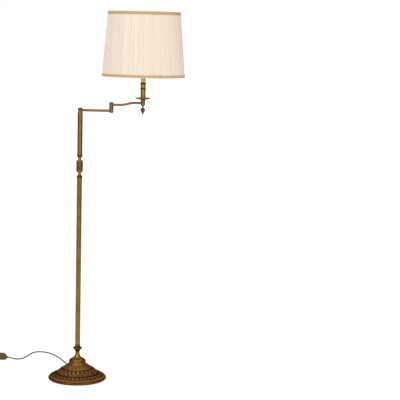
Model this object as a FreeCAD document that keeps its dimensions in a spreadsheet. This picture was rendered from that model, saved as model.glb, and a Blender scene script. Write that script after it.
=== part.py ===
"""Bridge floor lamp: a round cast base, a two-part column, two swinging arms that carry a candle
lampholder under a pleated shade, and a lead with an inline foot switch.

Millimetres.  +Z is up and Z = 0 is the floor, under the centre of the base.  At rest both arms and the
shade lie along +X.  Every driving size is a cell of the sheet; a Size below carries such a cell's value
together with the expression that binds it.
"""
import FreeCAD, Part
import math
import os
import Sketcher

doc = FreeCAD.newDocument("bridge_floor_lamp")
sheet = doc.addObject("Spreadsheet::Sheet", "Sizes")
Vector = FreeCAD.Vector

DRIVING_SIZES = [
    # base
    ("felt_thickness", 2.0),
    ("felt_inset", 5.0),
    ("base_radius", 124.0),
    ("base_wall", 1.8),
    ("base_height", 75.5),
    ("flange_inner_radius", 92.0),
    ("flange_inner_height", 26.8),
    ("dome_outer_radius", 89.3),
    ("dome_outer_height", 29.0),
    ("dome_inner_radius", 61.5),
    ("dome_inner_height", 49.8),
    ("lower_step_radius", 44.2),
    ("lower_step_height", 61.9),
    ("upper_step_radius", 40.2),
    ("upper_step_height", 63.8),
    ("base_top_radius", 34.2),
    ("weight_inset", 16.0),
    ("weight_thickness", 12.0),
    ("weight_boss_radius", 22.0),
    ("nut_recess_radius", 18.0),
    ("nut_recess_depth", 30.0),
    ("cable_channel_width", 9.0),
    ("cable_channel_height", 11.5),
    # threaded tubes, nuts and washers
    ("nipple_radius", 5.0),
    ("nipple_bore", 3.4),
    ("nipple_clearance", 0.1),
    ("nut_circumradius", 9.8),
    ("nut_thickness", 7.0),
    ("washer_radius", 13.0),
    ("washer_thickness", 1.6),
    ("seat_gap", 0.05),
    # column
    ("neck_height", 38.0),
    ("neck_lip_radius", 35.4),
    ("neck_waist_radius", 8.7),
    ("collar_height", 27.5),
    ("collar_radius", 19.2),
    ("collar_top_radius", 11.0),
    ("seat_ring_height", 7.5),
    ("ring_radius", 11.8),
    ("pole_radius", 10.6),
    ("pole_bore", 9.2),
    ("lower_pole_length", 717.5),
    ("reed_count", 18),
    ("reed_radius", 1.0),
    ("reed_plain_end", 6.0),
    ("knop_ring_height", 11.6),
    ("knop_neck_radius", 6.2),
    ("knop_neck_length", 14.0),
    ("knop_radius", 14.4),
    ("knop_height", 50.0),
    ("upper_pole_length", 167.8),
    ("plug_depth", 12.0),
    ("cap_ring_height", 8.0),
    # arms
    ("pivot_radius", 4.0),
    ("pivot_bore", 2.4),
    ("pivot_clearance", 0.06),
    ("running_gap", 0.15),
    ("knuckle_radius", 9.2),
    ("knuckle_height", 16.5),
    ("knuckle_cap_height", 3.6),
    ("arm_height", 10.5),
    ("first_arm_radius", 5.4),
    ("first_arm_bore", 4.2),
    ("first_arm_reach", 130.3),
    ("elbow_radius", 8.8),
    ("elbow_drop", 9.0),
    ("elbow_lower_height", 22.0),
    ("elbow_washer_thickness", 0.8),
    ("elbow_upper_height", 18.4),
    ("elbow_cap_height", 3.4),
    ("second_arm_lift", 11.5),
    ("second_arm_radius", 4.9),
    ("second_arm_bore", 3.8),
    ("second_arm_reach", 132.2),
    ("second_arm_rise", 9.5),
    ("rise_start", 36.0),
    ("rise_length", 63.0),
    ("socket_depth", 3.0),
    # lamp head
    ("hub_radius", 9.0),
    ("hub_below_arm", 10.5),
    ("hub_above_arm", 14.5),
    ("finial_length", 44.0),
    ("finial_radius", 9.2),
    ("pan_radius", 34.8),
    ("pan_wall", 1.2),
    ("pan_depth", 8.0),
    ("cup_radius", 10.6),
    ("cup_ring_radius", 11.3),
    ("cup_height", 71.0),
    ("sleeve_radius", 10.0),
    ("sleeve_wall", 1.2),
    ("sleeve_length", 62.0),
    ("holder_radius", 18.5),
    ("holder_skirt_height", 40.0),
    ("holder_cap_height", 17.0),
    ("shade_ring_radius", 23.5),
    ("shade_ring_height", 6.0),
    ("bulb_cap_radius", 13.2),
    ("bulb_cap_height", 24.0),
    ("bulb_radius", 30.0),
    ("bulb_height", 82.0),
    # shade
    ("shade_bottom_radius", 175.0),
    ("shade_top_radius", 152.4),
    ("shade_height", 270.5),
    ("shade_drop", 59.0),
    ("shade_wire_radius", 1.5),
    ("shade_cover_thickness", 2.4),
    ("shade_lining_thickness", 0.8),
    ("shade_soft_gap", 0.3),
    ("braid_height", 12.0),
    ("braid_thickness", 0.9),
    ("fitter_radius", 25.0),
    ("fitter_thickness", 1.6),
    ("strut_count", 6),
    ("spider_count", 3),
    # lead, foot switch and mains plug
    ("cord_radius", 2.75),
    ("flex_radius", 1.6),
    ("cord_exit_angle", 104.0),
    ("cord_exit_height", 8.6),
    ("bush_radius", 4.6),
    ("bush_tail_radius", 3.5),
    ("bush_length", 24.0),
    ("switch_length", 85.0),
    ("switch_width", 38.0),
    ("switch_height", 28.5),
    ("switch_base_thickness", 5.0),
    ("switch_wall", 2.0),
    ("switch_rounding", 17.5),
    ("switch_cord_height", 8.5),
    ("button_radius", 11.0),
    ("button_stroke", 2.5),
    ("button_clearance", 0.4),
    ("gland_length", 13.0),
    ("coil_radius", 38.0),
    ("coil_hole_radius", 21.0),
    ("coil_height", 12.5),
    ("plug_pin_radius", 2.0),
    ("plug_pin_length", 19.0),
    ("plug_pin_spacing", 19.0),
]


class Size:
    """A size with its value and the sheet expression that gives it."""

    def __init__(self, value, text):
        self.value = float(value)
        self.text = text

    def __add__(self, other):
        return combine(self, "+", other)

    def __radd__(self, other):
        return combine(other, "+", self)

    def __sub__(self, other):
        return combine(self, "-", other)

    def __rsub__(self, other):
        return combine(other, "-", self)

    def __mul__(self, other):
        return combine(self, "*", other)

    def __rmul__(self, other):
        return combine(other, "*", self)

    def __truediv__(self, other):
        return combine(self, "/", other)


def as_size(item):
    return item if isinstance(item, Size) else Size(item, repr(float(item)))


def combine(left, sign, right):
    a = as_size(left)
    b = as_size(right)
    results = {
        "+": lambda: a.value + b.value,
        "-": lambda: a.value - b.value,
        "*": lambda: a.value * b.value,
        "/": lambda: a.value / b.value,
    }
    return Size(results[sign](), f"({a.text} {sign} {b.text})")


S = {}
for row, (alias, number) in enumerate(DRIVING_SIZES, start=1):
    sheet.set(f"A{row}", alias.replace("_", " "))
    sheet.set(f"B{row}", str(number))
    sheet.setAlias(f"B{row}", alias)
    S[alias] = Size(number, f"Sizes.{alias}")
doc.recompute()

nodes = []


def node(thing, label):
    """Name a finished piece, place it with the others and keep it for export."""
    thing.Label = label
    nodes.append(thing)
    return thing


def bind(thing, prop, size):
    thing.setExpression(prop, as_size(size).text)


def move(thing, x=None, y=None, z=None):
    for axis, size in (("x", x), ("y", y), ("z", z)):
        if size is not None:
            bind(thing, f"Placement.Base.{axis}", size)
    return thing


# ---------------------------------------------------------------- ways of making a piece

def origin_plane(body, role):
    return next(f for f in body.Origin.OriginFeatures if f.Role == role)


def new_sketch(body, label, role="XZ_Plane"):
    sketch = body.newObject("Sketcher::SketchObject", label + "_outline")
    sketch.AttachmentSupport = [(origin_plane(body, role), "")]
    sketch.MapMode = "FlatFace"
    return sketch


def arc_between(start, end, sag):
    """The arc from start to end whose middle stands sag off the chord, to the right when positive."""
    chord = end - start
    half = chord.Length / 2
    radius = (half * half + sag * sag) / (2 * abs(sag))
    right = Vector(chord.y, -chord.x, 0).normalize()
    side = math.copysign(1, sag)
    centre = (start + end) / 2 + right * (sag - side * radius)
    first, last = (start, end) if sag > 0 else (end, start)
    angles = [math.atan2(p.y - centre.y, p.x - centre.x) for p in (first, last)]
    circle = Part.Circle(centre, Vector(0, 0, 1), radius)
    return Part.ArcOfCircle(circle, angles[0], angles[1])


def pin_point(sketch, edge, end, x, y, tag):
    """Hold one end of an edge at x, y by constraints that follow the sheet."""
    for kind, axis, size, name in (("DistanceX", -2, x, "x"), ("DistanceY", -1, y, "y")):
        if abs(size.value) < 1e-9:
            sketch.addConstraint(Sketcher.Constraint("PointOnObject", edge, end, axis))
            continue
        index = sketch.addConstraint(Sketcher.Constraint(kind, -1, 1, edge, end, size.value))
        sketch.renameConstraint(index, f"{name}{tag}")
        sketch.setExpression(f"Constraints.{name}{tag}", size.text)


def draw_outline(sketch, outline, closed=True):
    """Draw lines and arcs through the outline's points.

    A point is (x, y), or (x, y, sag) where an arc leads to it; a positive sag swells outwards on an
    outline that runs anticlockwise.
    """
    points = [(as_size(p[0]), as_size(p[1]), as_size(p[2]) if len(p) > 2 else None) for p in outline]
    ends = []
    steps = range(len(points)) if closed else range(1, len(points))
    for i in steps:
        x0, y0, _ = points[i - 1]
        x1, y1, sag = points[i]
        start = Vector(x0.value, y0.value, 0)
        end = Vector(x1.value, y1.value, 0)
        if sag is None:
            edge = sketch.addGeometry(Part.LineSegment(start, end), False)
            ends.append((edge, 1, edge, 2))
        else:
            edge = sketch.addGeometry(arc_between(start, end, sag.value), False)
            forward = sag.value > 0
            ends.append((edge, 1 if forward else 2, edge, 2 if forward else 1))
    for k, i in enumerate(steps):
        edge, first, _, last = ends[k]
        x1, y1, sag = points[i]
        if closed or k + 1 < len(ends):
            follower = ends[(k + 1) % len(ends)]
            sketch.addConstraint(Sketcher.Constraint("Coincident", edge, last, follower[0], follower[1]))
        pin_point(sketch, edge, last, x1, y1, i)
        if not closed and k == 0:
            pin_point(sketch, edge, first, points[0][0], points[0][1], "0")
        if sag is not None:
            x0, y0, _ = points[i - 1]
            dx = x1 - x0
            dy = y1 - y0
            rise = sag if sag.value > 0 else 0 - sag
            radius = ((dx * dx + dy * dy) / 4 + rise * rise) / (2 * rise)
            index = sketch.addConstraint(Sketcher.Constraint("Radius", edge, radius.value))
            sketch.renameConstraint(index, f"radius{i}")
            sketch.setExpression(f"Constraints.radius{i}", radius.text)


def turned(label, outline):
    """A piece turned about the vertical axis from half its section, radius by height."""
    body = doc.addObject("PartDesign::Body", label + "_body")
    sketch = new_sketch(body, label)
    draw_outline(sketch, outline)
    turn = body.newObject("PartDesign::Revolution", label + "_turning")
    turn.Profile = sketch
    turn.ReferenceAxis = (sketch, ["V_Axis"])
    turn.Angle = 360
    return body


def tube(label, outer, bore, bottom, top):
    return turned(label, [(bore, bottom), (outer, bottom), (outer, top), (bore, top)])


def slab(label, outline, width):
    """A flat bar whose outline lies in the upright plane, half its width to each side of it."""
    body = doc.addObject("PartDesign::Body", label + "_body")
    sketch = new_sketch(body, label)
    draw_outline(sketch, outline)
    pad = body.newObject("PartDesign::Pad", label + "_pad")
    pad.Profile = sketch
    bind(pad, "Length", width)
    pad.Midplane = True
    return body


ALONG_X = FreeCAD.Rotation(Vector(0, 1, 0), 90)


def rod_along_x(label, radius, start, length, height):
    rod = doc.addObject("Part::Cylinder", label)
    rod.Placement = FreeCAD.Placement(Vector(0, 0, 0), ALONG_X)
    bind(rod, "Radius", radius)
    bind(rod, "Height", length)
    return move(rod, x=start, z=height)


def cut(label, thing, tool):
    result = doc.addObject("Part::Cut", label)
    result.Base = thing
    result.Tool = tool
    return result


def fuse(label, things):
    result = doc.addObject("Part::MultiFuse", label)
    result.Shapes = things
    return result


def group(label, things):
    result = doc.addObject("Part::Compound", label)
    result.Links = things
    return result


def around(label, count, make):
    """Make a piece count times and turn each copy to its own place about the vertical axis."""
    copies = []
    for i in range(int(count.value)):
        copy = make(f"{label}_{i + 1}")
        turn = FreeCAD.Rotation(Vector(0, 0, 1), 90 + 360 * i / count.value)
        copy.Placement = FreeCAD.Placement(Vector(0, 0, 0), turn)
        copies.append(copy)
    return group(label + "_set", copies)


# ---------------------------------------------------------------- heights up the column

nipple_hole = S["nipple_radius"] + S["nipple_clearance"]
base_bottom = S["felt_thickness"]
base_top = base_bottom + S["base_height"]
neck_top = base_top + S["neck_height"]
collar_top = neck_top + S["collar_height"]
lower_pole_bottom = collar_top + S["seat_ring_height"]
lower_pole_top = lower_pole_bottom + S["lower_pole_length"]
knop_ring_top = lower_pole_top + S["knop_ring_height"]
knop_bottom = knop_ring_top + S["knop_neck_length"]
knop_top = knop_bottom + S["knop_height"]
upper_ring_bottom = knop_top + S["knop_neck_length"]
upper_pole_bottom = upper_ring_bottom + S["knop_ring_height"]
upper_pole_top = upper_pole_bottom + S["upper_pole_length"]
cap_top = upper_pole_top + S["cap_ring_height"]
knuckle_bottom = cap_top + S["running_gap"]
knuckle_top = knuckle_bottom + S["knuckle_height"]
pivot_cap_bottom = knuckle_top + S["running_gap"]
first_arm_z = knuckle_bottom + S["arm_height"]

# ---------------------------------------------------------------- base

felt = doc.addObject("Part::Cylinder", "felt")
bind(felt, "Radius", S["base_radius"] - S["felt_inset"])
bind(felt, "Height", base_bottom)
node(felt, "felt_pad")

wall = S["base_wall"]
rim = S["base_radius"]
base_outline = [
    (rim - 1.2 - wall, base_bottom),
    (rim - 1.2, base_bottom),
    (rim, base_bottom + 4.5, 0.3),
    (rim - 3.5, base_bottom + 10.5, 1.2),
    (S["flange_inner_radius"], base_bottom + S["flange_inner_height"]),
    (S["flange_inner_radius"] - 1.1, base_bottom + S["flange_inner_height"] - 1.0),
    (S["dome_outer_radius"] + 0.7, base_bottom + S["flange_inner_height"] - 0.8),
    (S["dome_outer_radius"], base_bottom + S["dome_outer_height"]),
    (S["dome_inner_radius"], base_bottom + S["dome_inner_height"], 0.8),
    (S["dome_inner_radius"] - 1.2, base_bottom + S["dome_inner_height"] + 1.3),
    (S["dome_inner_radius"] - 2.3, base_bottom + S["dome_inner_height"] + 0.7),
    (S["dome_inner_radius"] - 3.0, base_bottom + S["dome_inner_height"] + 1.8),
    (S["lower_step_radius"], base_bottom + S["lower_step_height"], 1.4),
    (S["lower_step_radius"] - 1.6, base_bottom + S["lower_step_height"] + 0.2),
    (S["upper_step_radius"] + 0.8, base_bottom + S["upper_step_height"] - 2.2),
    (S["upper_step_radius"], base_bottom + S["upper_step_height"]),
    (S["base_top_radius"], base_top, 1.1),
    (nipple_hole, base_top),
    (nipple_hole, base_top - wall),
    (S["base_top_radius"] - 4.5, base_top - wall),
    (S["lower_step_radius"] - 6.0, base_bottom + S["lower_step_height"] - 3.2),
    (S["dome_inner_radius"] - 4.0, base_bottom + S["dome_inner_height"] - 2.6),
    (S["dome_outer_radius"] - 2.0, base_bottom + S["flange_inner_height"] - 3.4),
    (rim - 3.5 - wall, base_bottom + 8.0),
    (rim - 0.6 - wall, base_bottom + 3.5, -0.6),
]
cover_blank = turned("base_cover_blank", base_outline)

# The lead's way through the rim, square to the base's edge
exit_turn = FreeCAD.Rotation(Vector(0, 0, 1), S["cord_exit_angle"].value)
bush_hole = rod_along_x("bush_hole", S["bush_radius"] + 0.1, rim - 12, 20, S["cord_exit_height"])
bush_hole_set = group("bush_hole_turned", [bush_hole])
bush_hole_set.Placement = FreeCAD.Placement(Vector(0, 0, 0), exit_turn)
bush_hole_set.setExpression("Placement.Rotation.Angle", "Sizes.cord_exit_angle * 1 deg")
node(cut("base_cover_piece", cover_blank, bush_hole_set), "base_cover")

recess_top = base_bottom + S["nut_recess_depth"]
weight_r = S["base_radius"] - S["weight_inset"]
weight_blank = turned("weight_blank", [
    (nipple_hole, recess_top),
    (S["nut_recess_radius"], recess_top),
    (S["nut_recess_radius"], base_bottom),
    (weight_r, base_bottom),
    (weight_r, base_bottom + S["weight_thickness"] - 4),
    (weight_r - 8, base_bottom + S["weight_thickness"], 1.2),
    (S["weight_boss_radius"] + 12, base_bottom + S["weight_thickness"] + 3),
    (S["weight_boss_radius"], base_bottom + S["weight_thickness"] + 14, -3),
    (S["weight_boss_radius"] - 1, base_top - wall),
    (nipple_hole, base_top - wall),
])
channel = doc.addObject("Part::Box", "cable_channel")
bind(channel, "Length", weight_r + 5)
bind(channel, "Width", S["cable_channel_width"])
bind(channel, "Height", S["cable_channel_height"] + 0.1)
move(channel, y=0 - S["cable_channel_width"] / 2, z=base_bottom - 0.1)
channel_set = group("cable_channel_turned", [channel])
channel_set.Placement = FreeCAD.Placement(Vector(0, 0, 0), exit_turn)
channel_set.setExpression("Placement.Rotation.Angle", "Sizes.cord_exit_angle * 1 deg")
node(cut("base_weight_piece", weight_blank, channel_set), "base_weight")

washer_bottom = recess_top - S["washer_thickness"]
washer = tube("washer", S["washer_radius"], nipple_hole, washer_bottom, recess_top)

nut_bottom = washer_bottom - S["nut_thickness"]
nut_blank = doc.addObject("Part::Prism", "nut_blank")
nut_blank.Polygon = 6
bind(nut_blank, "Circumradius", S["nut_circumradius"])
bind(nut_blank, "Height", S["nut_thickness"])
move(nut_blank, z=nut_bottom)
nut_hole = doc.addObject("Part::Cylinder", "nut_hole")
bind(nut_hole, "Radius", S["nipple_radius"] + S["seat_gap"])
bind(nut_hole, "Height", S["nut_thickness"] + 2)
move(nut_hole, z=nut_bottom - 1)
node(group("base_nut_set", [washer, cut("base_nut_piece", nut_blank, nut_hole)]), "base_nut_and_washer")

base_nipple_top = lower_pole_bottom + S["plug_depth"] - 1
base_nipple = tube("base_nipple_tube", S["nipple_radius"], S["nipple_bore"], nut_bottom - 2,
                   base_nipple_top)

# ---------------------------------------------------------------- column

lip = S["neck_lip_radius"]
waist = S["neck_waist_radius"]
node(turned("neck", [
    (nipple_hole, base_top),
    (lip - 2.6, base_top),
    (lip - 1.6, base_top + 1.2),
    (lip, base_top + 2.0),
    (lip - 0.6, base_top + 4.0, 0.3),
    (lip - 10.6, base_top + 12.0, 1.2),
    (waist + 4.5, base_top + 21.0, -1.1),
    (waist, neck_top, -1.2),
    (nipple_hole, neck_top),
]), "neck_casting")

disc = S["collar_radius"]
node(turned("collar", [
    (nipple_hole, neck_top),
    (waist, neck_top),
    (waist + 0.8, neck_top + 5.0),
    (disc - 2.4, neck_top + 16.0, -1.2),
    (disc, neck_top + 18.5, 0.5),
    (disc, neck_top + 21.0),
    (disc - 3.0, neck_top + 23.0, 0.5),
    (S["collar_top_radius"] + 0.8, neck_top + 23.0),
    (S["collar_top_radius"] - 0.6, collar_top, 1.1),
    (nipple_hole, collar_top),
]), "disc_collar")


def column_ring(label, bottom, height, bead=0.6):
    """A turned ring that carries an end of a pole: a bead between two fillets."""
    side = S["ring_radius"]
    return turned(label, [
        (nipple_hole, bottom),
        (side - 1.6, bottom),
        (side - 1.2, bottom + height * 0.2),
        (side - 0.6, bottom + height * 0.25),
        (side - 0.6, bottom + height * 0.8, bead),
        (side - 1.2, bottom + height * 0.85),
        (side - 1.3, bottom + height),
        (nipple_hole, bottom + height),
    ])


def pole_plug(label, bottom, depth):
    """The brass plug inside a pole's end, threaded on the tube that joins the column."""
    return tube(label, S["pole_bore"] - S["seat_gap"], nipple_hole, bottom, bottom + depth)


node(column_ring("seat_ring", collar_top, S["seat_ring_height"]), "pole_seat_ring")

pole_body = doc.addObject("PartDesign::Body", "lower_pole_body")
pole_sketch = new_sketch(pole_body, "lower_pole")
draw_outline(pole_sketch, [
    (S["pole_bore"], lower_pole_bottom),
    (S["pole_radius"], lower_pole_bottom),
    (S["pole_radius"], lower_pole_top),
    (S["pole_bore"], lower_pole_top),
])
pole_turn = pole_body.newObject("PartDesign::Revolution", "lower_pole_turning")
pole_turn.Profile = pole_sketch
pole_turn.ReferenceAxis = (pole_sketch, ["V_Axis"])
pole_turn.Angle = 360
doc.recompute()
reed_sketch = new_sketch(pole_body, "reed", "XY_Plane")
bind(reed_sketch, "AttachmentOffset.Base.z", lower_pole_bottom + S["reed_plain_end"])
reed_edge = reed_sketch.addGeometry(Part.Circle(Vector(11.1, 0, 0), Vector(0, 0, 1), 1.0), False)
reed_sketch.addConstraint(Sketcher.Constraint("PointOnObject", reed_edge, 3, -1))
reed_place = S["pole_radius"] + S["reed_radius"] / 2
reed_at = reed_sketch.addConstraint(
    Sketcher.Constraint("DistanceX", -1, 1, reed_edge, 3, reed_place.value))
reed_sketch.renameConstraint(reed_at, "place")
reed_sketch.setExpression("Constraints.place", reed_place.text)
reed_size = reed_sketch.addConstraint(
    Sketcher.Constraint("Radius", reed_edge, S["reed_radius"].value))
reed_sketch.renameConstraint(reed_size, "size")
reed_sketch.setExpression("Constraints.size", S["reed_radius"].text)
reed = pole_body.newObject("PartDesign::Pocket", "reed_groove")
reed.Profile = reed_sketch
bind(reed, "Length", S["lower_pole_length"] - 2 * S["reed_plain_end"])
reed.Reversed = True
doc.recompute()
reeds = pole_body.newObject("PartDesign::PolarPattern", "reed_pattern")
reeds.Originals = [reed]
reeds.Axis = (origin_plane(pole_body, "Z_Axis"), [""])
reeds.Angle = 360
bind(reeds, "Occurrences", S["reed_count"])
pole_body.Tip = reeds
node(pole_body, "lower_pole")

node(group("pole_plugs_set", [
    pole_plug("foot_plug", lower_pole_bottom, S["plug_depth"]),
    pole_plug("head_plug", lower_pole_top - S["plug_depth"], S["plug_depth"]),
    pole_plug("upper_plug", upper_pole_bottom, S["plug_depth"]),
]), "pole_plugs")
node(group("knop_rings_set", [
    column_ring("lower_knop_ring", lower_pole_top, S["knop_ring_height"]),
    column_ring("upper_knop_ring", upper_ring_bottom, S["knop_ring_height"]),
]), "knop_rings")

neck_r = S["knop_neck_radius"]
lower_spool = turned("lower_spool", [
    (nipple_hole, knop_ring_top),
    (S["ring_radius"] - 2, knop_ring_top),
    (neck_r, knop_ring_top + 5, -1.2),
    (neck_r + 2.4, knop_bottom, -0.6),
    (nipple_hole, knop_bottom),
])

barrel = S["knop_radius"]
node(turned("barrel", [
    (nipple_hole, knop_bottom),
    (neck_r + 2.2, knop_bottom),
    (barrel - 0.9, knop_bottom + 4.5),
    (barrel - 0.3, knop_bottom + 7.0, 0.4),
    (barrel - 1.3, knop_bottom + 8.2),
    (barrel - 1.3, knop_top - 8.2, 1.3),
    (barrel - 0.3, knop_top - 7.0),
    (barrel - 0.9, knop_top - 4.5, 0.4),
    (neck_r + 2.2, knop_top),
    (nipple_hole, knop_top),
]), "knop_barrel")

upper_spool = turned("upper_spool", [
    (nipple_hole, knop_top),
    (neck_r + 2.4, knop_top),
    (neck_r, upper_ring_bottom - 5, -0.6),
    (S["ring_radius"] - 2, upper_ring_bottom, -1.2),
    (nipple_hole, upper_ring_bottom),
])
node(group("knop_spools_set", [lower_spool, upper_spool]), "knop_spools")
knop_nipple = tube("knop_nipple_tube", S["nipple_radius"], S["nipple_bore"],
                   lower_pole_top - S["plug_depth"] + 1, upper_pole_bottom + S["plug_depth"] - 1)
node(group("column_nipples_set", [base_nipple, knop_nipple]), "column_nipples")

node(tube("upper_pole_tube", S["pole_radius"], S["pole_bore"], upper_pole_bottom, upper_pole_top),
     "upper_pole")

pin_fit = S["pivot_radius"] + S["seat_gap"]
node(turned("pole_cap_turning", [
    (pin_fit, upper_pole_top - S["plug_depth"]),
    (S["pole_bore"] - S["seat_gap"], upper_pole_top - S["plug_depth"]),
    (S["pole_bore"] - S["seat_gap"], upper_pole_top),
    (S["ring_radius"] - 1.0, upper_pole_top),
    (S["ring_radius"] - 0.5, upper_pole_top + 1.5),
    (S["ring_radius"] - 0.5, upper_pole_top + 4.0, 0.5),
    (S["knuckle_radius"] + 0.6, cap_top, -0.4),
    (pin_fit, cap_top),
]), "pole_cap")

# ---------------------------------------------------------------- first swivel, on the pole

pivot_top = pivot_cap_bottom + S["knuckle_cap_height"] - 1
pin_blank = tube("swivel_pin_tube", S["pivot_radius"], S["pivot_bore"],
                 upper_pole_top - S["plug_depth"] - 2, pivot_top)
pin_window = rod_along_x("swivel_pin_window", S["flex_radius"] + 0.5, 0, S["knuckle_radius"], first_arm_z)
node(cut("swivel_pin_piece", pin_blank, pin_window), "swivel_pin")
node(turned("swivel_cap_turning", [
    (0, pivot_top),
    (pin_fit, pivot_top),
    (pin_fit, pivot_cap_bottom),
    (S["knuckle_radius"] - 0.3, pivot_cap_bottom),
    (S["knuckle_radius"] - 0.3, pivot_cap_bottom + 2.4),
    (S["knuckle_radius"] - 1.8, pivot_cap_bottom + S["knuckle_cap_height"], 0.4),
    (0, pivot_cap_bottom + S["knuckle_cap_height"] + 0.6),
]), "swivel_cap")


def knuckle_with_socket(label, blank, radius, arm_radius, z, side, place):
    """Bore a knuckle's side for the end of an arm and for the flex that comes out of it."""
    reach = S["socket_depth"]
    socket = rod_along_x(label + "_socket", arm_radius + S["seat_gap"], 0, 40, z)
    window = rod_along_x(label + "_window", S["flex_radius"] + 0.6, 0, 40, z)
    if side > 0:
        move(socket, x=place + radius - reach)
        move(window, x=place)
    else:
        move(socket, x=place - radius + reach - 40)
        move(window, x=place - 40)
    return cut(label, blank, fuse(label + "_drilling", [socket, window]))


pivot_hole = S["pivot_radius"] + S["pivot_clearance"]
knuckle_r = S["knuckle_radius"]
first_blank = turned("first_knuckle_turning", [
    (pivot_hole, knuckle_bottom),
    (knuckle_r - 0.4, knuckle_bottom),
    (knuckle_r, knuckle_bottom + 0.8),
    (knuckle_r, knuckle_top - 1.2),
    (knuckle_r - 0.8, knuckle_top, 0.2),
    (pivot_hole, knuckle_top),
])
node(knuckle_with_socket("first_knuckle_piece", first_blank, knuckle_r, S["first_arm_radius"],
                         first_arm_z, 1, as_size(0)), "first_arm_knuckle")

# ---------------------------------------------------------------- first arm and elbow

elbow_x = S["first_arm_reach"]
arm_start = knuckle_r - S["socket_depth"] + 0.1
arm_end = elbow_x - S["elbow_radius"] + S["socket_depth"] - 0.1
first_outer = rod_along_x("first_arm_outer", S["first_arm_radius"], arm_start, arm_end - arm_start,
                          first_arm_z)
first_inner = rod_along_x("first_arm_inner", S["first_arm_bore"], arm_start - 1,
                          arm_end - arm_start + 2, first_arm_z)
node(cut("first_arm_piece", first_outer, first_inner), "first_arm_tube")

elbow_bottom = first_arm_z - S["elbow_drop"]
elbow_lower_top = elbow_bottom + S["elbow_lower_height"]
washer_top = elbow_lower_top + S["elbow_washer_thickness"]
elbow_upper_bottom = washer_top + S["running_gap"]
elbow_upper_top = elbow_upper_bottom + S["elbow_upper_height"]
elbow_cap_bottom = elbow_upper_top + S["running_gap"]
second_arm_z = elbow_upper_bottom + S["second_arm_lift"]
elbow_pin_top = elbow_cap_bottom + S["elbow_cap_height"] - 1

elbow_r = S["elbow_radius"]
lower_blank = turned("elbow_lower_turning", [
    (0, elbow_bottom),
    (elbow_r - 4.5, elbow_bottom),
    (elbow_r, elbow_bottom + 4.5, 1.3),
    (elbow_r, elbow_lower_top - 0.8),
    (elbow_r - 0.6, elbow_lower_top),
    (pin_fit, elbow_lower_top),
    (pin_fit, elbow_bottom + 3.5),
    (0, elbow_bottom + 3.5),
])
move(lower_blank, x=elbow_x)
node(knuckle_with_socket("elbow_lower_piece", lower_blank, elbow_r, S["first_arm_radius"],
                         first_arm_z, -1, elbow_x), "elbow_lower_knuckle")

elbow_pin_blank = tube("elbow_pin_tube", S["pivot_radius"], S["pivot_bore"], elbow_bottom + 3.6,
                       elbow_pin_top)
move(elbow_pin_blank, x=elbow_x)
lower_window = rod_along_x("elbow_pin_lower_window", S["flex_radius"] + 0.5, elbow_x - elbow_r, elbow_r,
                           first_arm_z)
upper_window = rod_along_x("elbow_pin_upper_window", S["flex_radius"] + 0.5, elbow_x, elbow_r,
                           second_arm_z)
node(cut("elbow_pin_piece", elbow_pin_blank, fuse("elbow_pin_windows", [lower_window, upper_window])),
     "elbow_pin")

elbow_washer = tube("elbow_washer_disc", elbow_r - 0.4, pin_fit, elbow_lower_top, washer_top)
node(move(elbow_washer, x=elbow_x), "elbow_washer")
elbow_cap = turned("elbow_cap_turning", [
    (0, elbow_pin_top),
    (pin_fit, elbow_pin_top),
    (pin_fit, elbow_cap_bottom),
    (elbow_r - 0.2, elbow_cap_bottom),
    (elbow_r - 0.2, elbow_cap_bottom + 2.2),
    (elbow_r - 1.4, elbow_cap_bottom + S["elbow_cap_height"], 0.3),
    (0, elbow_cap_bottom + S["elbow_cap_height"] + 0.6),
])
node(move(elbow_cap, x=elbow_x), "elbow_cap")

# ---------------------------------------------------------------- second arm

upper_blank = turned("elbow_upper_turning", [
    (pivot_hole, elbow_upper_bottom),
    (elbow_r - 0.5, elbow_upper_bottom),
    (elbow_r, elbow_upper_bottom + 0.8),
    (elbow_r, elbow_upper_top - 0.8),
    (elbow_r - 0.5, elbow_upper_top),
    (pivot_hole, elbow_upper_top),
])
move(upper_blank, x=elbow_x)
node(knuckle_with_socket("elbow_upper_piece", upper_blank, elbow_r, S["second_arm_radius"],
                         second_arm_z, 1, elbow_x), "elbow_upper_knuckle")

lamp_x = elbow_x + S["second_arm_reach"]
lamp_arm_z = second_arm_z + S["second_arm_rise"]
second_start = elbow_x + elbow_r - S["socket_depth"] + 0.1
second_end = lamp_x - S["hub_radius"] + S["socket_depth"] - 0.1
rise_from = elbow_x + S["rise_start"]
rise_to = rise_from + S["rise_length"]
rise_middle = (rise_from + rise_to) / 2


def rise_sag():
    """How far each half of the S stands off its chord: two equal arcs that meet in the middle."""
    half_length = S["rise_length"].value / 2
    half_rise = S["second_arm_rise"].value / 2
    return math.hypot(half_length, half_rise) / 2 * math.tan(math.atan(half_rise / half_length) / 2)


def bent_rod(label, radius, start, end, low, high):
    """A round rod along the second arm: level, up through the S, and level again."""
    lift = (low + high) / 2
    sag = rise_sag()
    points = [(start, low), (rise_from, low), (rise_middle, lift), (rise_to, high), (end, high)]
    spots = [Vector(as_size(x).value, 0, as_size(z).value) for x, z in points]
    middle_low = (spots[1] + spots[2]) / 2 + Vector(half_tilt(), 0, -1).normalize() * sag
    middle_high = (spots[2] + spots[3]) / 2 + Vector(-half_tilt(), 0, 1).normalize() * sag
    path = Part.Wire([
        Part.makeLine(spots[0], spots[1]),
        Part.Arc(spots[1], middle_low, spots[2]).toShape(),
        Part.Arc(spots[2], middle_high, spots[3]).toShape(),
        Part.makeLine(spots[3], spots[4]),
    ])
    ring = Part.Wire(Part.makeCircle(as_size(radius).value, spots[0], Vector(1, 0, 0)))
    return path, ring


def half_tilt():
    return S["second_arm_rise"].value / S["rise_length"].value


def shape_node(label, shape):
    """A piece whose shape is made straight from the sheet's values."""
    feature = doc.addObject("Part::Feature", label + "_shape")
    feature.Shape = shape
    return node(feature, label)


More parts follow.
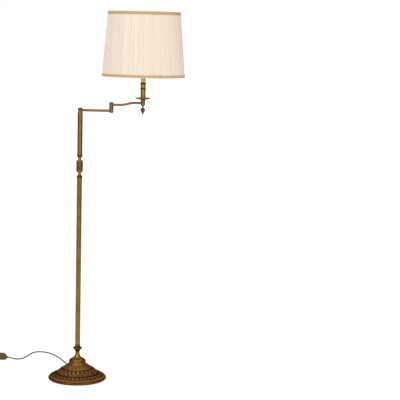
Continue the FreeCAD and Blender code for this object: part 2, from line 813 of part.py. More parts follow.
outer_path, outer_ring = bent_rod("second_arm_outer", S["second_arm_radius"], second_start, second_end,
                                  second_arm_z, lamp_arm_z)
inner_ring = Part.Wire(Part.makeCircle(S["second_arm_bore"].value, outer_path.Edges[0].Vertexes[0].Point,
                                       Vector(1, 0, 0)))
outer_rod = outer_path.makePipeShell([outer_ring], True, False)
inner_rod = outer_path.makePipeShell([inner_ring], True, False)
shape_node("second_arm_tube", outer_rod.cut(inner_rod))

# ---------------------------------------------------------------- lamp head

hub_bottom = lamp_arm_z - S["hub_below_arm"]
hub_top = lamp_arm_z + S["hub_above_arm"]
hub_r = S["hub_radius"]
stud_radius = as_size(2.5)
stud_depth = as_size(5)
hub_blank = turned("hub_turning", [
    (0, hub_bottom + stud_depth + 0.2),
    (stud_radius + 0.1, hub_bottom + stud_depth + 0.2),
    (stud_radius + 0.1, hub_bottom),
    (hub_r - 2.4, hub_bottom),
    (hub_r - 0.4, hub_bottom + 4.0, 0.8),
    (hub_r, hub_top - 10.0),
    (hub_r, hub_top - 1.0),
    (hub_r - 0.8, hub_top),
    (nipple_hole, hub_top),
    (nipple_hole, lamp_arm_z + 5.0),
    (S["second_arm_bore"], lamp_arm_z + 5.0),
    (S["second_arm_bore"], lamp_arm_z - 3.0),
    (0, lamp_arm_z - 3.0),
])
move(hub_blank, x=lamp_x)
node(knuckle_with_socket("hub_piece", hub_blank, hub_r, S["second_arm_radius"], lamp_arm_z, -1, lamp_x),
     "lamp_hub")

tip = hub_bottom - S["finial_length"]
ball = S["finial_radius"]
finial = turned("finial_turning", [
    (0, tip),
    (0.9, tip + 0.6, 0.2),
    (ball * 0.55, tip + 15.5, -0.9),
    (ball * 0.8, tip + 19.5),
    (ball, tip + 25.0, 0.6),
    (ball * 0.75, tip + 32.0, 1.6),
    (3.6, tip + 36.0, -0.7),
    (3.4, tip + 39.5, -0.3),
    (hub_r - 3.0, hub_bottom, -0.7),
    (stud_radius, hub_bottom),
    (stud_radius, hub_bottom + stud_depth),
    (0, hub_bottom + stud_depth),
])
node(move(finial, x=lamp_x), "finial")

pan_top = hub_top + S["pan_depth"]
pan_wall = S["pan_wall"]
pan = turned("drip_pan_turning", [
    (nipple_hole, hub_top),
    (S["cup_radius"], hub_top),
    (S["pan_radius"] - 1.0, pan_top - 1.6, 1.0),
    (S["pan_radius"], pan_top - 0.4, 0.3),
    (S["pan_radius"] - 1.4, pan_top, 0.3),
    (S["cup_radius"] + 0.5, hub_top + pan_wall, -1.0),
    (nipple_hole, hub_top + pan_wall),
])
node(move(pan, x=lamp_x), "drip_pan")

cup_bottom = hub_top + pan_wall
cup_top = cup_bottom + S["cup_height"]
cup_r = S["cup_radius"]
ring_r = S["cup_ring_radius"]
cup_bore = S["sleeve_radius"] - S["sleeve_wall"] + 0.2
sleeve_seat = cup_top - 8.0
cup = turned("candle_cup_turning", [
    (nipple_hole, cup_bottom),
    (cup_r - 1.0, cup_bottom),
    (cup_r, cup_bottom + 4.0, 0.4),
    (cup_r, cup_bottom + 40.5),
    (ring_r, cup_bottom + 41.5),
    (ring_r, cup_bottom + 45.5, 0.4),
    (cup_r, cup_bottom + 46.5),
    (cup_r, cup_top - 12.0, -0.3),
    (ring_r, cup_top - 11.0),
    (ring_r, cup_top - 5.0, 0.4),
    (cup_r, cup_top),
    (S["sleeve_radius"] + 0.1, cup_top),
    (S["sleeve_radius"] + 0.1, sleeve_seat),
    (cup_bore, sleeve_seat),
    (cup_bore, cup_bottom + 6.0),
    (nipple_hole, cup_bottom + 6.0),
])
node(move(cup, x=lamp_x), "candle_cup")

sleeve_bottom = sleeve_seat + S["seat_gap"]
sleeve_top = sleeve_bottom + S["sleeve_length"]
sleeve = tube("candle_sleeve_tube", S["sleeve_radius"], S["sleeve_radius"] - S["sleeve_wall"],
              sleeve_bottom, sleeve_top)
node(move(sleeve, x=lamp_x), "candle_sleeve")

holder_bottom = sleeve_top
holder_cap_top = holder_bottom + S["holder_cap_height"]
holder_top = holder_cap_top + S["holder_skirt_height"]
holder_r = S["holder_radius"]
lamp_nipple = tube("lamp_nipple_tube", S["nipple_radius"], S["nipple_bore"], lamp_arm_z + 6.0,
                   holder_bottom + 8.0)
node(move(lamp_nipple, x=lamp_x), "lamp_nipple")
holder_cap = turned("holder_cap_turning", [
    (nipple_hole, holder_bottom),
    (S["sleeve_radius"] + 0.6, holder_bottom),
    (holder_r, holder_bottom + 9.0, 1.6),
    (holder_r, holder_cap_top),
    (holder_r - 2.0, holder_cap_top),
    (holder_r - 2.0, holder_bottom + 9.6),
    (S["sleeve_radius"] - 0.5, holder_bottom + 4.0),
    (nipple_hole, holder_bottom + 4.0),
])
skirt = tube("holder_skirt_tube", holder_r, holder_r - 2.0, holder_cap_top, holder_top)
node(move(group("lampholder_shell_set", [holder_cap, skirt]), x=lamp_x), "lampholder_shell")
bulb_cap_bottom = holder_cap_top + 4.0
shell_radius = S["bulb_cap_radius"] + 0.5
holder_core = turned("holder_core_turning", [
    (3.4, holder_bottom + 12.0),
    (holder_r - 2.3, holder_bottom + 12.0),
    (holder_r - 2.3, holder_top - 16.0),
    (shell_radius, holder_top - 16.0),
    (shell_radius, bulb_cap_bottom - 1.0),
    (3.4, bulb_cap_bottom - 1.0),
])
node(move(holder_core, x=lamp_x), "lampholder_core")

ring_side = S["shade_ring_radius"]


def shade_ring(label, bottom):
    return tube(label, ring_side, holder_r + 0.15, bottom, bottom + S["shade_ring_height"])


fitter_bottom = holder_cap_top + 10.0
fitter_top = fitter_bottom + S["fitter_thickness"]
lower_clamp = shade_ring("lower_shade_ring", fitter_bottom - S["shade_ring_height"])
upper_clamp = shade_ring("upper_shade_ring", fitter_top)
node(move(group("shade_rings_set", [lower_clamp, upper_clamp]), x=lamp_x), "shade_rings")

bulb_cap_top = bulb_cap_bottom + S["bulb_cap_height"]
bulb_cap = turned("bulb_cap_turning", [
    (0, bulb_cap_bottom - 0.8),
    (4.0, bulb_cap_bottom - 0.8),
    (5.0, bulb_cap_bottom + 1.5),
    (S["bulb_cap_radius"] - 1.0, bulb_cap_bottom + 4.0),
    (S["bulb_cap_radius"], bulb_cap_bottom + 6.0),
    (S["bulb_cap_radius"], bulb_cap_top),
    (0, bulb_cap_top),
])
node(move(bulb_cap, x=lamp_x), "bulb_cap")
glass_r = S["bulb_radius"]
glass_top = bulb_cap_top + S["bulb_height"]
bulb = turned("bulb_glass_turning", [
    (0, bulb_cap_top),
    (S["bulb_cap_radius"] - 0.4, bulb_cap_top),
    (S["bulb_cap_radius"] + 1.0, bulb_cap_top + 9.0),
    (glass_r, glass_top - glass_r + 2, -1.5),
    (2, glass_top, (glass_r - 2) * 0.2929),
    (0, glass_top),
])
node(move(bulb, x=lamp_x), "bulb_glass")

# ---------------------------------------------------------------- shade

shade_bottom = fitter_top - S["shade_drop"]
shade_top = shade_bottom + S["shade_height"]
shade_slope = (S["shade_bottom_radius"] - S["shade_top_radius"]) / S["shade_height"]
braid = S["braid_thickness"]
soft = S["shade_soft_gap"]


def cone_band(label, inset, thickness, low, high):
    """A band of the shade's cone, its outer face inset from the shade's outline."""

    def radius_at(height):
        return S["shade_bottom_radius"] - shade_slope * height - inset

    body = turned(label, [
        (radius_at(low) - thickness, shade_bottom + low),
        (radius_at(low), shade_bottom + low),
        (radius_at(high), shade_bottom + high),
        (radius_at(high) - thickness, shade_bottom + high),
    ])
    return move(body, x=lamp_x)


zero = as_size(0)
tall = S["shade_height"]
node(cone_band("shade_cover_cone", braid + soft, S["shade_cover_thickness"], zero + 0.4, tall - 0.4),
     "shade_cover")
node(group("shade_braids_set", [
    cone_band("lower_braid_band", zero, braid, zero, S["braid_height"]),
    cone_band("upper_braid_band", zero, braid, tall - S["braid_height"], tall),
]), "shade_braids")

wire = S["shade_wire_radius"]
wire_inset = braid + soft + S["shade_cover_thickness"] + soft
lining_inset = wire_inset + 2 * wire + soft
node(cone_band("shade_lining_cone", lining_inset, S["shade_lining_thickness"], 2 * wire + 1.4, tall - 0.4),
     "shade_lining")


def wire_ring(label, radius, height):
    ring = doc.addObject("Part::Torus", label)
    bind(ring, "Radius1", radius)
    bind(ring, "Radius2", wire)
    return move(ring, x=lamp_x, z=height)


bottom_ring_z = shade_bottom + wire + 0.6
top_ring_z = shade_top - wire - 0.6
bottom_ring_r = S["shade_bottom_radius"] - wire_inset - wire - shade_slope * (wire + 0.6)
top_ring_r = S["shade_top_radius"] - wire_inset - wire + shade_slope * (wire + 0.6)
node(group("shade_wire_rings_set", [
    wire_ring("bottom_wire", bottom_ring_r, bottom_ring_z),
    wire_ring("top_wire", top_ring_r, top_ring_z),
]), "shade_wire_rings")


def strut(label):
    return slab(label, [
        (bottom_ring_r - 0.8, bottom_ring_z + wire + 0.1),
        (bottom_ring_r + 0.8, bottom_ring_z + wire + 0.1),
        (top_ring_r + 0.8, top_ring_z - wire - 0.1),
        (top_ring_r - 0.8, top_ring_z - wire - 0.1),
    ], 2 * wire)


node(move(around("shade_strut", S["strut_count"], strut), x=lamp_x), "shade_struts")

fitter_plate = tube("shade_fitter_washer", S["fitter_radius"], holder_r + 0.15, fitter_bottom, fitter_top)


def spider_arm(label):
    reach = bottom_ring_r - wire - lining_inset / 3
    return slab(label, [
        (S["fitter_radius"] + 0.05, fitter_bottom),
        (reach - 1.5, bottom_ring_z - 0.8),
        (bottom_ring_r - wire - 0.05, bottom_ring_z - 0.8),
        (bottom_ring_r - wire - 0.05, bottom_ring_z + 0.8),
        (reach - 1.5, bottom_ring_z + 0.8),
        (S["fitter_radius"] + 0.05, fitter_top),
    ], 3)


spider_arms = around("spider_arm", S["spider_count"], spider_arm)
node(move(group("shade_spider_set", [fitter_plate, spider_arms]), x=lamp_x), "shade_spider")

# ---------------------------------------------------------------- cables inside the lamp


def bend_route(points, shares=0.45):
    """Straight runs joined by tangent arcs, each as large as its two runs allow."""
    spots = [Vector(*p) for p in points]
    edges = []
    radii = []
    last = spots[0]
    for before, corner, after in zip(spots, spots[1:], spots[2:]):
        way_in = (corner - before).normalize()
        way_out = (after - corner).normalize()
        turn = way_in.getAngle(way_out)
        shorter = min((corner - before).Length, (after - corner).Length)
        trim = shares * shorter
        radii.append(trim / math.tan(turn / 2))
        enter = corner - way_in * trim
        leave = corner + way_out * trim
        to_centre = (way_out - way_in).normalize()
        centre = corner + to_centre * (radii[-1] / math.cos(turn / 2))
        middle = centre - to_centre * radii[-1]
        edges.append(Part.makeLine(last, enter))
        edges.append(Part.Arc(enter, middle, leave).toShape())
        last = leave
    edges.append(Part.makeLine(last, spots[-1]))
    return Part.Wire(edges), radii


def cable(label, points, radius, shares=0.45):
    """A round cable along a route, checked against its section times its length."""
    path, radii = bend_route(points, shares)
    start = path.Edges[0]
    heading = (start.Vertexes[-1].Point - start.Vertexes[0].Point).normalize()
    ring = Part.Wire(Part.makeCircle(radius, start.Vertexes[0].Point, heading))
    solid = path.makePipeShell([ring], True, False)
    expected = math.pi * radius ** 2 * path.Length
    if abs(solid.Volume - expected) > 0.02 * expected:
        raise ValueError(f"{label}: volume {solid.Volume:.1f} is not {expected:.1f}")
    runs = [(Vector(*b) - Vector(*a)).Length for a, b in zip(points, points[1:])]
    print(f"{label}: length {path.Length:.1f}")
    print("  runs " + " ".join(f"{run:.0f}" for run in runs))
    print("  bend radii " + " ".join(f"{bent:.0f}" for bent in radii))
    shape_node(label, solid)
    return path


cord = S["cord_radius"].value
flex = S["flex_radius"].value
exit_angle = math.radians(S["cord_exit_angle"].value)
outward = Vector(math.cos(exit_angle), math.sin(exit_angle), 0)
exit_z = S["cord_exit_height"].value
bush_outer_end = rim.value + S["bush_length"].value - 2
bush_tip = outward * bush_outer_end + Vector(0, 0, exit_z)

riser_top = upper_pole_top.value - S["plug_depth"].value - 14
bend = 14.0


def riser_path():
    """In from the bush, along the channel, and up through the column in one bend."""
    inner = outward * bend + Vector(0, 0, exit_z)
    middle = outward * (bend * (1 - math.sin(math.pi / 4))) + Vector(
        0, 0, exit_z + bend * (1 - math.cos(math.pi / 4)))
    top = Vector(0, 0, exit_z + bend)
    return Part.Wire([
        Part.makeLine(bush_tip, inner),
        Part.Arc(inner, middle, top).toShape(),
        Part.makeLine(top, Vector(0, 0, riser_top)),
    ])


riser = riser_path()
riser_ring = Part.Wire(Part.makeCircle(cord, bush_tip, outward))
riser_cable = doc.addObject("Part::Feature", "riser_cable_shape")
riser_cable.Shape = riser.makePipeShell([riser_ring], True, False)

swivel_flex = doc.addObject("Part::Cylinder", "swivel_flex_rod")
bind(swivel_flex, "Radius", S["flex_radius"])
bind(swivel_flex, "Height", first_arm_z - (upper_pole_top - S["plug_depth"] - 14))
move(swivel_flex, z=upper_pole_top - S["plug_depth"] - 14)
node(group("column_cable_set", [riser_cable, swivel_flex]), "column_cable")

sunk = S["first_arm_bore"] - S["flex_radius"] - 0.3
first_flex = rod_along_x("first_arm_flex_rod", S["flex_radius"], arm_start + 0.2,
                         arm_end - arm_start - 0.4, first_arm_z - sunk)

elbow_flex = doc.addObject("Part::Cylinder", "elbow_flex_rod")
bind(elbow_flex, "Radius", S["flex_radius"])
bind(elbow_flex, "Height", second_arm_z - first_arm_z)
move(elbow_flex, x=elbow_x, z=first_arm_z)
node(group("first_arm_flex_set", [first_flex, elbow_flex]), "first_arm_flex")

second_sunk = (S["second_arm_bore"] - S["flex_radius"] - 0.3).value
flex_path, flex_ring = bent_rod("second_flex", S["flex_radius"], second_start + 0.2, second_end - 0.2,
                                second_arm_z - second_sunk, lamp_arm_z - second_sunk)
second_flex = doc.addObject("Part::Feature", "second_flex_shape")
second_flex.Shape = flex_path.makePipeShell([flex_ring], True, False)

lamp_flex = doc.addObject("Part::Cylinder", "lamp_flex_rod")
bind(lamp_flex, "Radius", S["flex_radius"])
bind(lamp_flex, "Height", holder_bottom + 11.8 - (lamp_arm_z - 2.5))
move(lamp_flex, x=lamp_x + 1.5, z=lamp_arm_z - 2.5)
node(group("second_arm_flex_set", [second_flex, lamp_flex]), "second_arm_flex")

# ---------------------------------------------------------------- lead on the floor


def turned_along(label, outline, start, heading):
    """A turned piece laid along a heading, its own axis starting at a point."""
    body = turned(label, outline)
    turn = FreeCAD.Rotation(Vector(0, 0, 1), heading)
    body.Placement = FreeCAD.Placement(start, turn)
    return body


cord_bore = S["cord_radius"] + 0.15
bush = turned_along("bush_turning", [
    (cord_bore, 0),
    (S["bush_radius"], 0),
    (S["bush_radius"], 10.4),
    (S["bush_radius"] + 0.9, 11.0),
    (S["bush_radius"] + 0.9, 12.2),
    (S["bush_radius"], 12.8),
    (S["bush_tail_radius"], S["bush_length"] + 8.0 - 0.6),
    (S["bush_tail_radius"] - 0.4, S["bush_length"] + 8.0),
    (cord_bore, S["bush_length"] + 8.0),
], outward * (rim.value - 10) + Vector(0, 0, exit_z), outward)
node(bush, "cord_bush")

floor_z = cord + 0.05
switch_end_x = -350.0
switch_middle_x = switch_end_x - S["switch_length"].value / 2
switch_y = 312.0
gland_tip_x = switch_end_x + S["gland_length"].value - 5
switch_cord_z = S["switch_cord_height"].value

# The lead from the base's bush to the switch, as it lies on the floor
tip_x, tip_y = bush_tip.x, bush_tip.y
lead_points = [
    (tip_x + outward.x * 0.4, tip_y + outward.y * 0.4, exit_z),
    (tip_x - 6.5, tip_y + 22, 7.2),
    (tip_x - 15, tip_y + 46, floor_z + 1.0),
    (-67, 231, floor_z),
    (-87, 281, floor_z),
    (-109, 334, floor_z),
    (-133, 382, floor_z),
    (-154, 413, floor_z),
    (-174, 435, floor_z),
    (-194, 449, floor_z),
    (-214, 454, floor_z),
    (-232, 448, floor_z),
    (-245, 431, floor_z),
    (-254, 404, floor_z),
    (-262, 368, floor_z),
    (-270, 340, floor_z),
    (-280, 319, floor_z),
    (-293, 306, floor_z),
    (-310, 302, floor_z + 1.0),
    (-327, 308, floor_z + 3.8),
    (gland_tip_x + 0.9, switch_y, switch_cord_z),
]
cable("cord_lead", lead_points, cord)

# ---------------------------------------------------------------- foot switch


def stadium(label, length, width, height, bottom, inset=0):
    """An oblong block with round ends, lying along X about the switch's middle."""
    half = width / 2 - inset
    straight = length - width
    bar = doc.addObject("Part::Box", label + "_bar")
    bind(bar, "Length", straight)
    bind(bar, "Width", 2 * half)
    bind(bar, "Height", height)
    move(bar, x=switch_middle_x - straight / 2, y=switch_y - half, z=bottom)
    parts = [bar]
    for name, side in (("left", -1), ("right", 1)):
        end = doc.addObject("Part::Cylinder", f"{label}_{name}")
        bind(end, "Radius", half)
        bind(end, "Height", height)
        move(end, x=switch_middle_x + straight * (side * 0.5), y=as_size(switch_y), z=bottom)
        parts.append(end)
    solid = fuse(label, parts)
    solid.Refine = True
    return solid


def edges_at(thing, height):
    """The indices of the edges that lie wholly at one height."""
    doc.recompute()
    found = []
    for i, edge in enumerate(thing.Shape.Edges, start=1):
        box = edge.BoundBox
        if abs(box.ZMin - height) < 1e-4 and abs(box.ZMax - height) < 1e-4:
            found.append(i)
    return found


def rounded(label, thing, height, radius):
    """Round the edges of one face by a radius."""
    result = doc.addObject("Part::Fillet", label)
    result.Base = thing
    result.Edges = [(i, radius.value, radius.value) for i in edges_at(thing, height.value)]
    return result


length = S["switch_length"]
width = S["switch_width"]
base_plate = S["switch_base_thickness"]
shell_wall = S["switch_wall"]
switch_top = S["switch_height"]
tray = stadium("switch_base_block", length, width, base_plate, zero)
tray_well = stadium("switch_base_well", length, width, base_plate, shell_wall, shell_wall + 2)
gland_way = doc.addObject("Part::Box", "switch_base_way")
bind(gland_way, "Length", length + 4)
bind(gland_way, "Width", 2 * (S["bush_radius"] + 0.1))
bind(gland_way, "Height", base_plate)
move(gland_way, x=switch_middle_x - length / 2 - 2, y=switch_y - S["bush_radius"] - 0.1,
     z=switch_cord_z - S["bush_radius"])
node(cut("switch_base_piece", tray, fuse("switch_base_cuts", [tray_well, gland_way])), "switch_base")

dome_height = switch_top - base_plate
dome = stadium("switch_cover_block", length, width, dome_height, base_plate)
dome_round = rounded("switch_cover_rounded", dome, switch_top, S["switch_rounding"])
hollow = stadium("switch_cover_hollow", length, width, dome_height - shell_wall, base_plate, shell_wall)
hollow_round = rounded("switch_cover_hollow_rounded", hollow, switch_top - shell_wall,
                       S["switch_rounding"] - shell_wall)
button_hole = doc.addObject("Part::Cylinder", "switch_button_hole")
bind(button_hole, "Radius", S["button_radius"] + S["button_clearance"])
bind(button_hole, "Height", S["switch_height"])
move(button_hole, x=as_size(switch_middle_x), y=as_size(switch_y), z=base_plate + 6)
gland_hole = rod_along_x("switch_gland_hole", S["bush_radius"] + 0.1,
                         switch_middle_x - length / 2 - 2, length + 4, switch_cord_z)
gland_hole.Placement.Base.y = switch_y
cover_cuts = fuse("switch_cover_cuts", [hollow_round, button_hole, gland_hole])
node(cut("switch_cover_piece", dome_round, cover_cuts), "switch_cover")

contact_top = base_plate + 6
contacts = []
for name, offset in (("left", -7.0), ("right", 7.0)):
    blade = doc.addObject("Part::Box", f"contact_{name}")
    bind(blade, "Length", as_size(5))
    bind(blade, "Width", as_size(8))
    bind(blade, "Height", contact_top - shell_wall)
    move(blade, x=switch_middle_x + as_size(offset - 2.5), y=as_size(switch_y - 4), z=shell_wall)
    contacts.append(blade)
node(group("switch_contacts_set", contacts), "switch_contacts")


def spring_shape(radius, gauge, bottom, height, turns):
    """A coil spring: a round wire along a helix."""
    helix = Part.makeHelix((height - 2 * gauge) / turns, height - 2 * gauge, radius)
    helix.translate(Vector(0, 0, bottom + gauge))
    start = helix.Edges[0].firstVertex().Point
    section = Part.Wire(Part.makeCircle(gauge, start, Vector(0, 1, 0.1)))
    coil = Part.Wire(helix.Edges).makePipeShell([section], True, True)
    coil.translate(Vector(switch_middle_x, switch_y, 0))
    return coil


stroke = S["button_stroke"]
button_foot = contact_top + stroke + 0.6
shape_node("switch_spring", spring_shape(3.2, 0.4, shell_wall.value + 0.05,
                                         (button_foot - shell_wall).value - 0.1, 5))

button_r = S["button_radius"]
button = turned("switch_button_turning", [
    (0, button_foot),
    (button_r - 3.0, button_foot),
    (button_r - 3.0, button_foot + 2.0),
    (button_r, button_foot + 2.0),
    (button_r, switch_top + 2.2),
    (button_r - 1.6, switch_top + 3.6, 0.5),
    (0, switch_top + 4.0),
])
node(move(button, x=as_size(switch_middle_x), y=as_size(switch_y)), "switch_button")

screws = []
for name, side in (("left", -1), ("right", 1)):
    screw = turned(f"switch_screw_{name}", [
        (0, 0.6),
        (2.6, 0.6),
        (2.6, 1.9),
        (1.4, shell_wall + 0.6),
        (1.4, base_plate + 3),
        (0, base_plate + 3),
    ])
    move(screw, x=switch_middle_x + side * (length / 2 - 13), y=switch_y + side * 9.0)
    screws.append(screw)
screw_set = group("switch_screws_set", screws)
screw_ways = []
for name, side in (("left", -1), ("right", 1)):
    way = doc.addObject("Part::Cylinder", f"screw_way_{name}")
    way.Radius = 2.8
    bind(way, "Height", shell_wall + 1)
    move(way, x=switch_middle_x + side * (length / 2 - 13), y=switch_y + side * 9.0, z=as_size(-0.5))
    screw_ways.append(way)
switch_base = next(n for n in nodes if n.Label == "switch_base")
nodes.remove(switch_base)
switch_base.Label = "switch_base_undrilled"
node(cut("switch_base_drilled", switch_base, fuse("screw_ways_set", screw_ways)), "switch_base")
node(screw_set, "switch_screws")


def switch_gland(label, side):
    """A tapered rubber sleeve that leads the cord out of an end of the switch."""
    total = S["gland_length"]
    return turned_along(label, [
        (0, 0),
        (S["bush_radius"], 0),
        (S["bush_radius"], 5.0),
        (S["bush_tail_radius"], total - 0.6),
        (S["bush_tail_radius"] - 0.4, total),
        (0, total),
    ], Vector(switch_middle_x + side * (length.value / 2 - 5), switch_y, switch_cord_z),
        Vector(side, 0, 0))


node(group("switch_glands_set", [switch_gland("gland_right", 1), switch_gland("gland_left", -1)]),
     "switch_glands")


# ---------------------------------------------------------------- rest of the lead, put away

coil_x = -548.0
coil_y = 345.0
left_tip_x = switch_middle_x - length.value / 2 + 5 - S["gland_length"].value
coil_side = S["coil_radius"].value
tail_points = [
    (left_tip_x - 0.5, switch_y, switch_cord_z),
    (left_tip_x - 18, switch_y - 1, switch_cord_z - 1.4),
    (left_tip_x - 37, switch_y - 4, floor_z + 0.7),
    (-508, coil_y - coil_side - cord + 1.4, floor_z),
    (coil_x + 14, coil_y - coil_side - cord + 0.9, floor_z),
    (coil_x - 6, coil_y - coil_side - cord - 0.5, floor_z),
]
cable("cord_tail", tail_points, cord)

coil = tube("cord_coil_ring", S["coil_radius"], S["coil_hole_radius"], zero, S["coil_height"])
node(move(coil, x=as_size(coil_x), y=as_size(coil_y)), "cord_coil")

tie_wall = 1.2
tie_width = as_size(6)
tie_outer = doc.addObject("Part::Box", "cord_tie_outer")
tie_inner = doc.addObject("Part::Box", "cord_tie_inner")
band = S["coil_radius"] - S["coil_hole_radius"]
bind(tie_outer, "Length", band + 0.6 + 2 * tie_wall)
bind(tie_inner, "Length", band + 0.6)
for box, extra in ((tie_outer, tie_wall), (tie_inner, 0.0)):
    bind(box, "Width", tie_width + (0 if extra else 2))
    bind(box, "Height", S["coil_height"] - 0.1 + extra + (0 if extra else 0.4))
    move(box, x=coil_x - S["coil_radius"] - 0.3 - extra,
         y=coil_y - tie_width / 2 - (0 if extra else 1), z=as_size(0.1 if extra else -0.1))
node(cut("cord_tie_piece", tie_outer, tie_inner), "cord_tie")

# ---------------------------------------------------------------- mains plug, lying beside the coil

plug_x = coil_x + 90.0
plug_y = coil_y + coil_side + cord + 4.0
plug_axis_z = 9.5
plug_length = 36.0
relief_length = 26.0
body_half_width = 13.0
plug_block = doc.addObject("Part::Box", "plug_block")
plug_block.Length = plug_length
plug_block.Width = 2 * body_half_width
plug_block.Height = 2 * plug_axis_z - 2
plug_block.Placement.Base = Vector(plug_x, plug_y - body_half_width, 1.0)
doc.recompute()
plug_soft = doc.addObject("Part::Fillet", "plug_rounded")
plug_soft.Base = plug_block
plug_soft.Edges = [(i, 4.0, 4.0) for i in range(1, 13)]

pins = []
for name, side in (("near", -1), ("far", 1)):
    pin = rod_along_x(f"plug_pin_{name}", S["plug_pin_radius"], as_size(plug_x + plug_length),
                      S["plug_pin_length"], as_size(plug_axis_z))
    bind(pin, "Placement.Base.y", plug_y + S["plug_pin_spacing"] * (side * 0.5))
    pins.append(pin)
node(group("plug_pins_set", pins), "plug_pins")

relief = turned_along("plug_relief_turning", [
    (0, 0),
    (5.6, 0),
    (5.2, 5.0),
    (3.6, relief_length + 3.4),
    (3.2, relief_length + 4.0),
    (0, relief_length + 4.0),
], Vector(plug_x + 4.0, plug_y, plug_axis_z), Vector(-1, 0, 0))
node(fuse("plug_body_piece", [plug_soft, relief]), "plug_body")

relief_tip_x = plug_x - relief_length
end_points = [
    (coil_x - 6, coil_y + coil_side + cord + 0.1, floor_z),
    (coil_x + 12, coil_y + coil_side + cord + 0.6, floor_z),
    (coil_x + 30, coil_y + coil_side + cord + 2.6, floor_z + 1.8),
    (coil_x + 47, plug_y, plug_axis_z - 1.0),
    (relief_tip_x - 0.4, plug_y, plug_axis_z),
]
cable("plug_cord", end_points, cord)

# ---------------------------------------------------------------- check and write

doc.recompute()
bad = [o.Label for o in doc.Objects if "Invalid" in o.State or "Error" in o.State]
bad += [n.Label for n in nodes if n.Shape.isNull() or not n.Shape.isValid()]
if bad:
    raise RuntimeError("pieces that failed: " + ", ".join(bad))
os.makedirs("parts", exist_ok=True)
for piece in nodes:
    piece.Shape.exportStep(f"parts/{piece.Label}.step")
print(len(nodes), "pieces written")
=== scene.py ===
"""A bridge floor lamp in antique brass, with a pleated shade and a foot switch on its lead."""

import math
import random

import bmesh
import bpy
from mathutils import Matrix, Vector


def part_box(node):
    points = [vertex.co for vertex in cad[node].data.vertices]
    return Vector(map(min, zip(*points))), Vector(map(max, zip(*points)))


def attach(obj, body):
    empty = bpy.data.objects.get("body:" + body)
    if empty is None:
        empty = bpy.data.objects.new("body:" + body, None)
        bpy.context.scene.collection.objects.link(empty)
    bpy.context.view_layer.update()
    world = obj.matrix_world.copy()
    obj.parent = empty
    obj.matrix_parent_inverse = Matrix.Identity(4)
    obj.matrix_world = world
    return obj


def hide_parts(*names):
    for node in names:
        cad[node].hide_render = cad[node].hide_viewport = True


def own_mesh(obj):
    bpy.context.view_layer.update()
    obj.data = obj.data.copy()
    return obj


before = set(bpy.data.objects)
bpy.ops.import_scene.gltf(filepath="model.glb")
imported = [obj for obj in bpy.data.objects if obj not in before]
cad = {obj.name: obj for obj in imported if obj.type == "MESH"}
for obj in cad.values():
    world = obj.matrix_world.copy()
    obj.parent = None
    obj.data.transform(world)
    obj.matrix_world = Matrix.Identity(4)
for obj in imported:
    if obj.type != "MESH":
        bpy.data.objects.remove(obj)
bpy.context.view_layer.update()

# ---------------------------------------------------------------- view
# The lamp is seen from the front, from a little above its middle and from far off.
# The picture leans by a little over a degree.

lens = bpy.data.cameras.new("camera")
lens.lens = 120.6
lens.sensor_width = 36.0
lens.clip_end = 60.0
camera = bpy.data.objects.new("camera", lens)
bpy.context.scene.collection.objects.link(camera)
camera.matrix_world = (
    Matrix.Translation((0.5115, -5.6308, 1.4962))
    @ Matrix.Rotation(math.radians(90 - 7.183), 4, "X")
    @ Matrix.Rotation(math.radians(1.315), 4, "Z")
)
bpy.context.scene.camera = camera
bpy.context.scene.view_settings.view_transform = "Standard"


def add(tree, kind, inputs=None, **settings):
    """Add a shader node with its settings, and fill or link its inputs by name or number."""
    node = tree.nodes.new("ShaderNode" + kind)
    for name, value in settings.items():
        setattr(node, name, value)
    for name, value in (inputs or {}).items():
        if isinstance(value, bpy.types.NodeSocket):
            tree.links.new(value, node.inputs[name])
        else:
            node.inputs[name].default_value = value
    return node


def rays_seen(tree):
    """1 for what the camera, metal and glass see, and 0 for the light that falls on things."""
    path = add(tree, "LightPath").outputs
    shiny = add(tree, "Math", {0: path["Is Camera Ray"], 1: path["Is Glossy Ray"]}, operation="MAXIMUM")
    return add(tree, "Math", {0: shiny.outputs[0], 1: path["Is Transmission Ray"]},
               operation="MAXIMUM").outputs[0]


# ---------------------------------------------------------------- studio
# A white room with no visible corner: soft light from all round and a broad key light
# from the upper left. Dark cards at the sides and behind, seen only in the metal, give it
# its edges.

studio = bpy.data.worlds.new("studio")
bpy.context.scene.world = studio
studio.use_nodes = True
room = studio.node_tree
room.nodes.clear()
soft_light = add(room, "Background", {"Color": (1.0, 0.985, 0.965, 1), "Strength": 0.84})
white_room = add(room, "Background", {"Color": (1, 1, 1, 1), "Strength": 1.0})
room_mix = add(room, "MixShader", {0: rays_seen(room), 1: soft_light.outputs[0], 2: white_room.outputs[0]})
add(room, "OutputWorld", {"Surface": room_mix.outputs[0]})

for name, place, softness, strength in (
    ("key_light", (-1.6, -3.8, 2.6), 18, 1.05),
    ("fill_light", (3.4, -2.6, 1.2), 30, 0.5),
):
    lamp = bpy.data.lights.new(name, "SUN")
    lamp.angle = math.radians(softness)
    lamp.energy = strength
    holder = bpy.data.objects.new(name, lamp)
    bpy.context.scene.collection.objects.link(holder)
    holder.rotation_euler = (-Vector(place)).to_track_quat("-Z", "Y").to_euler()

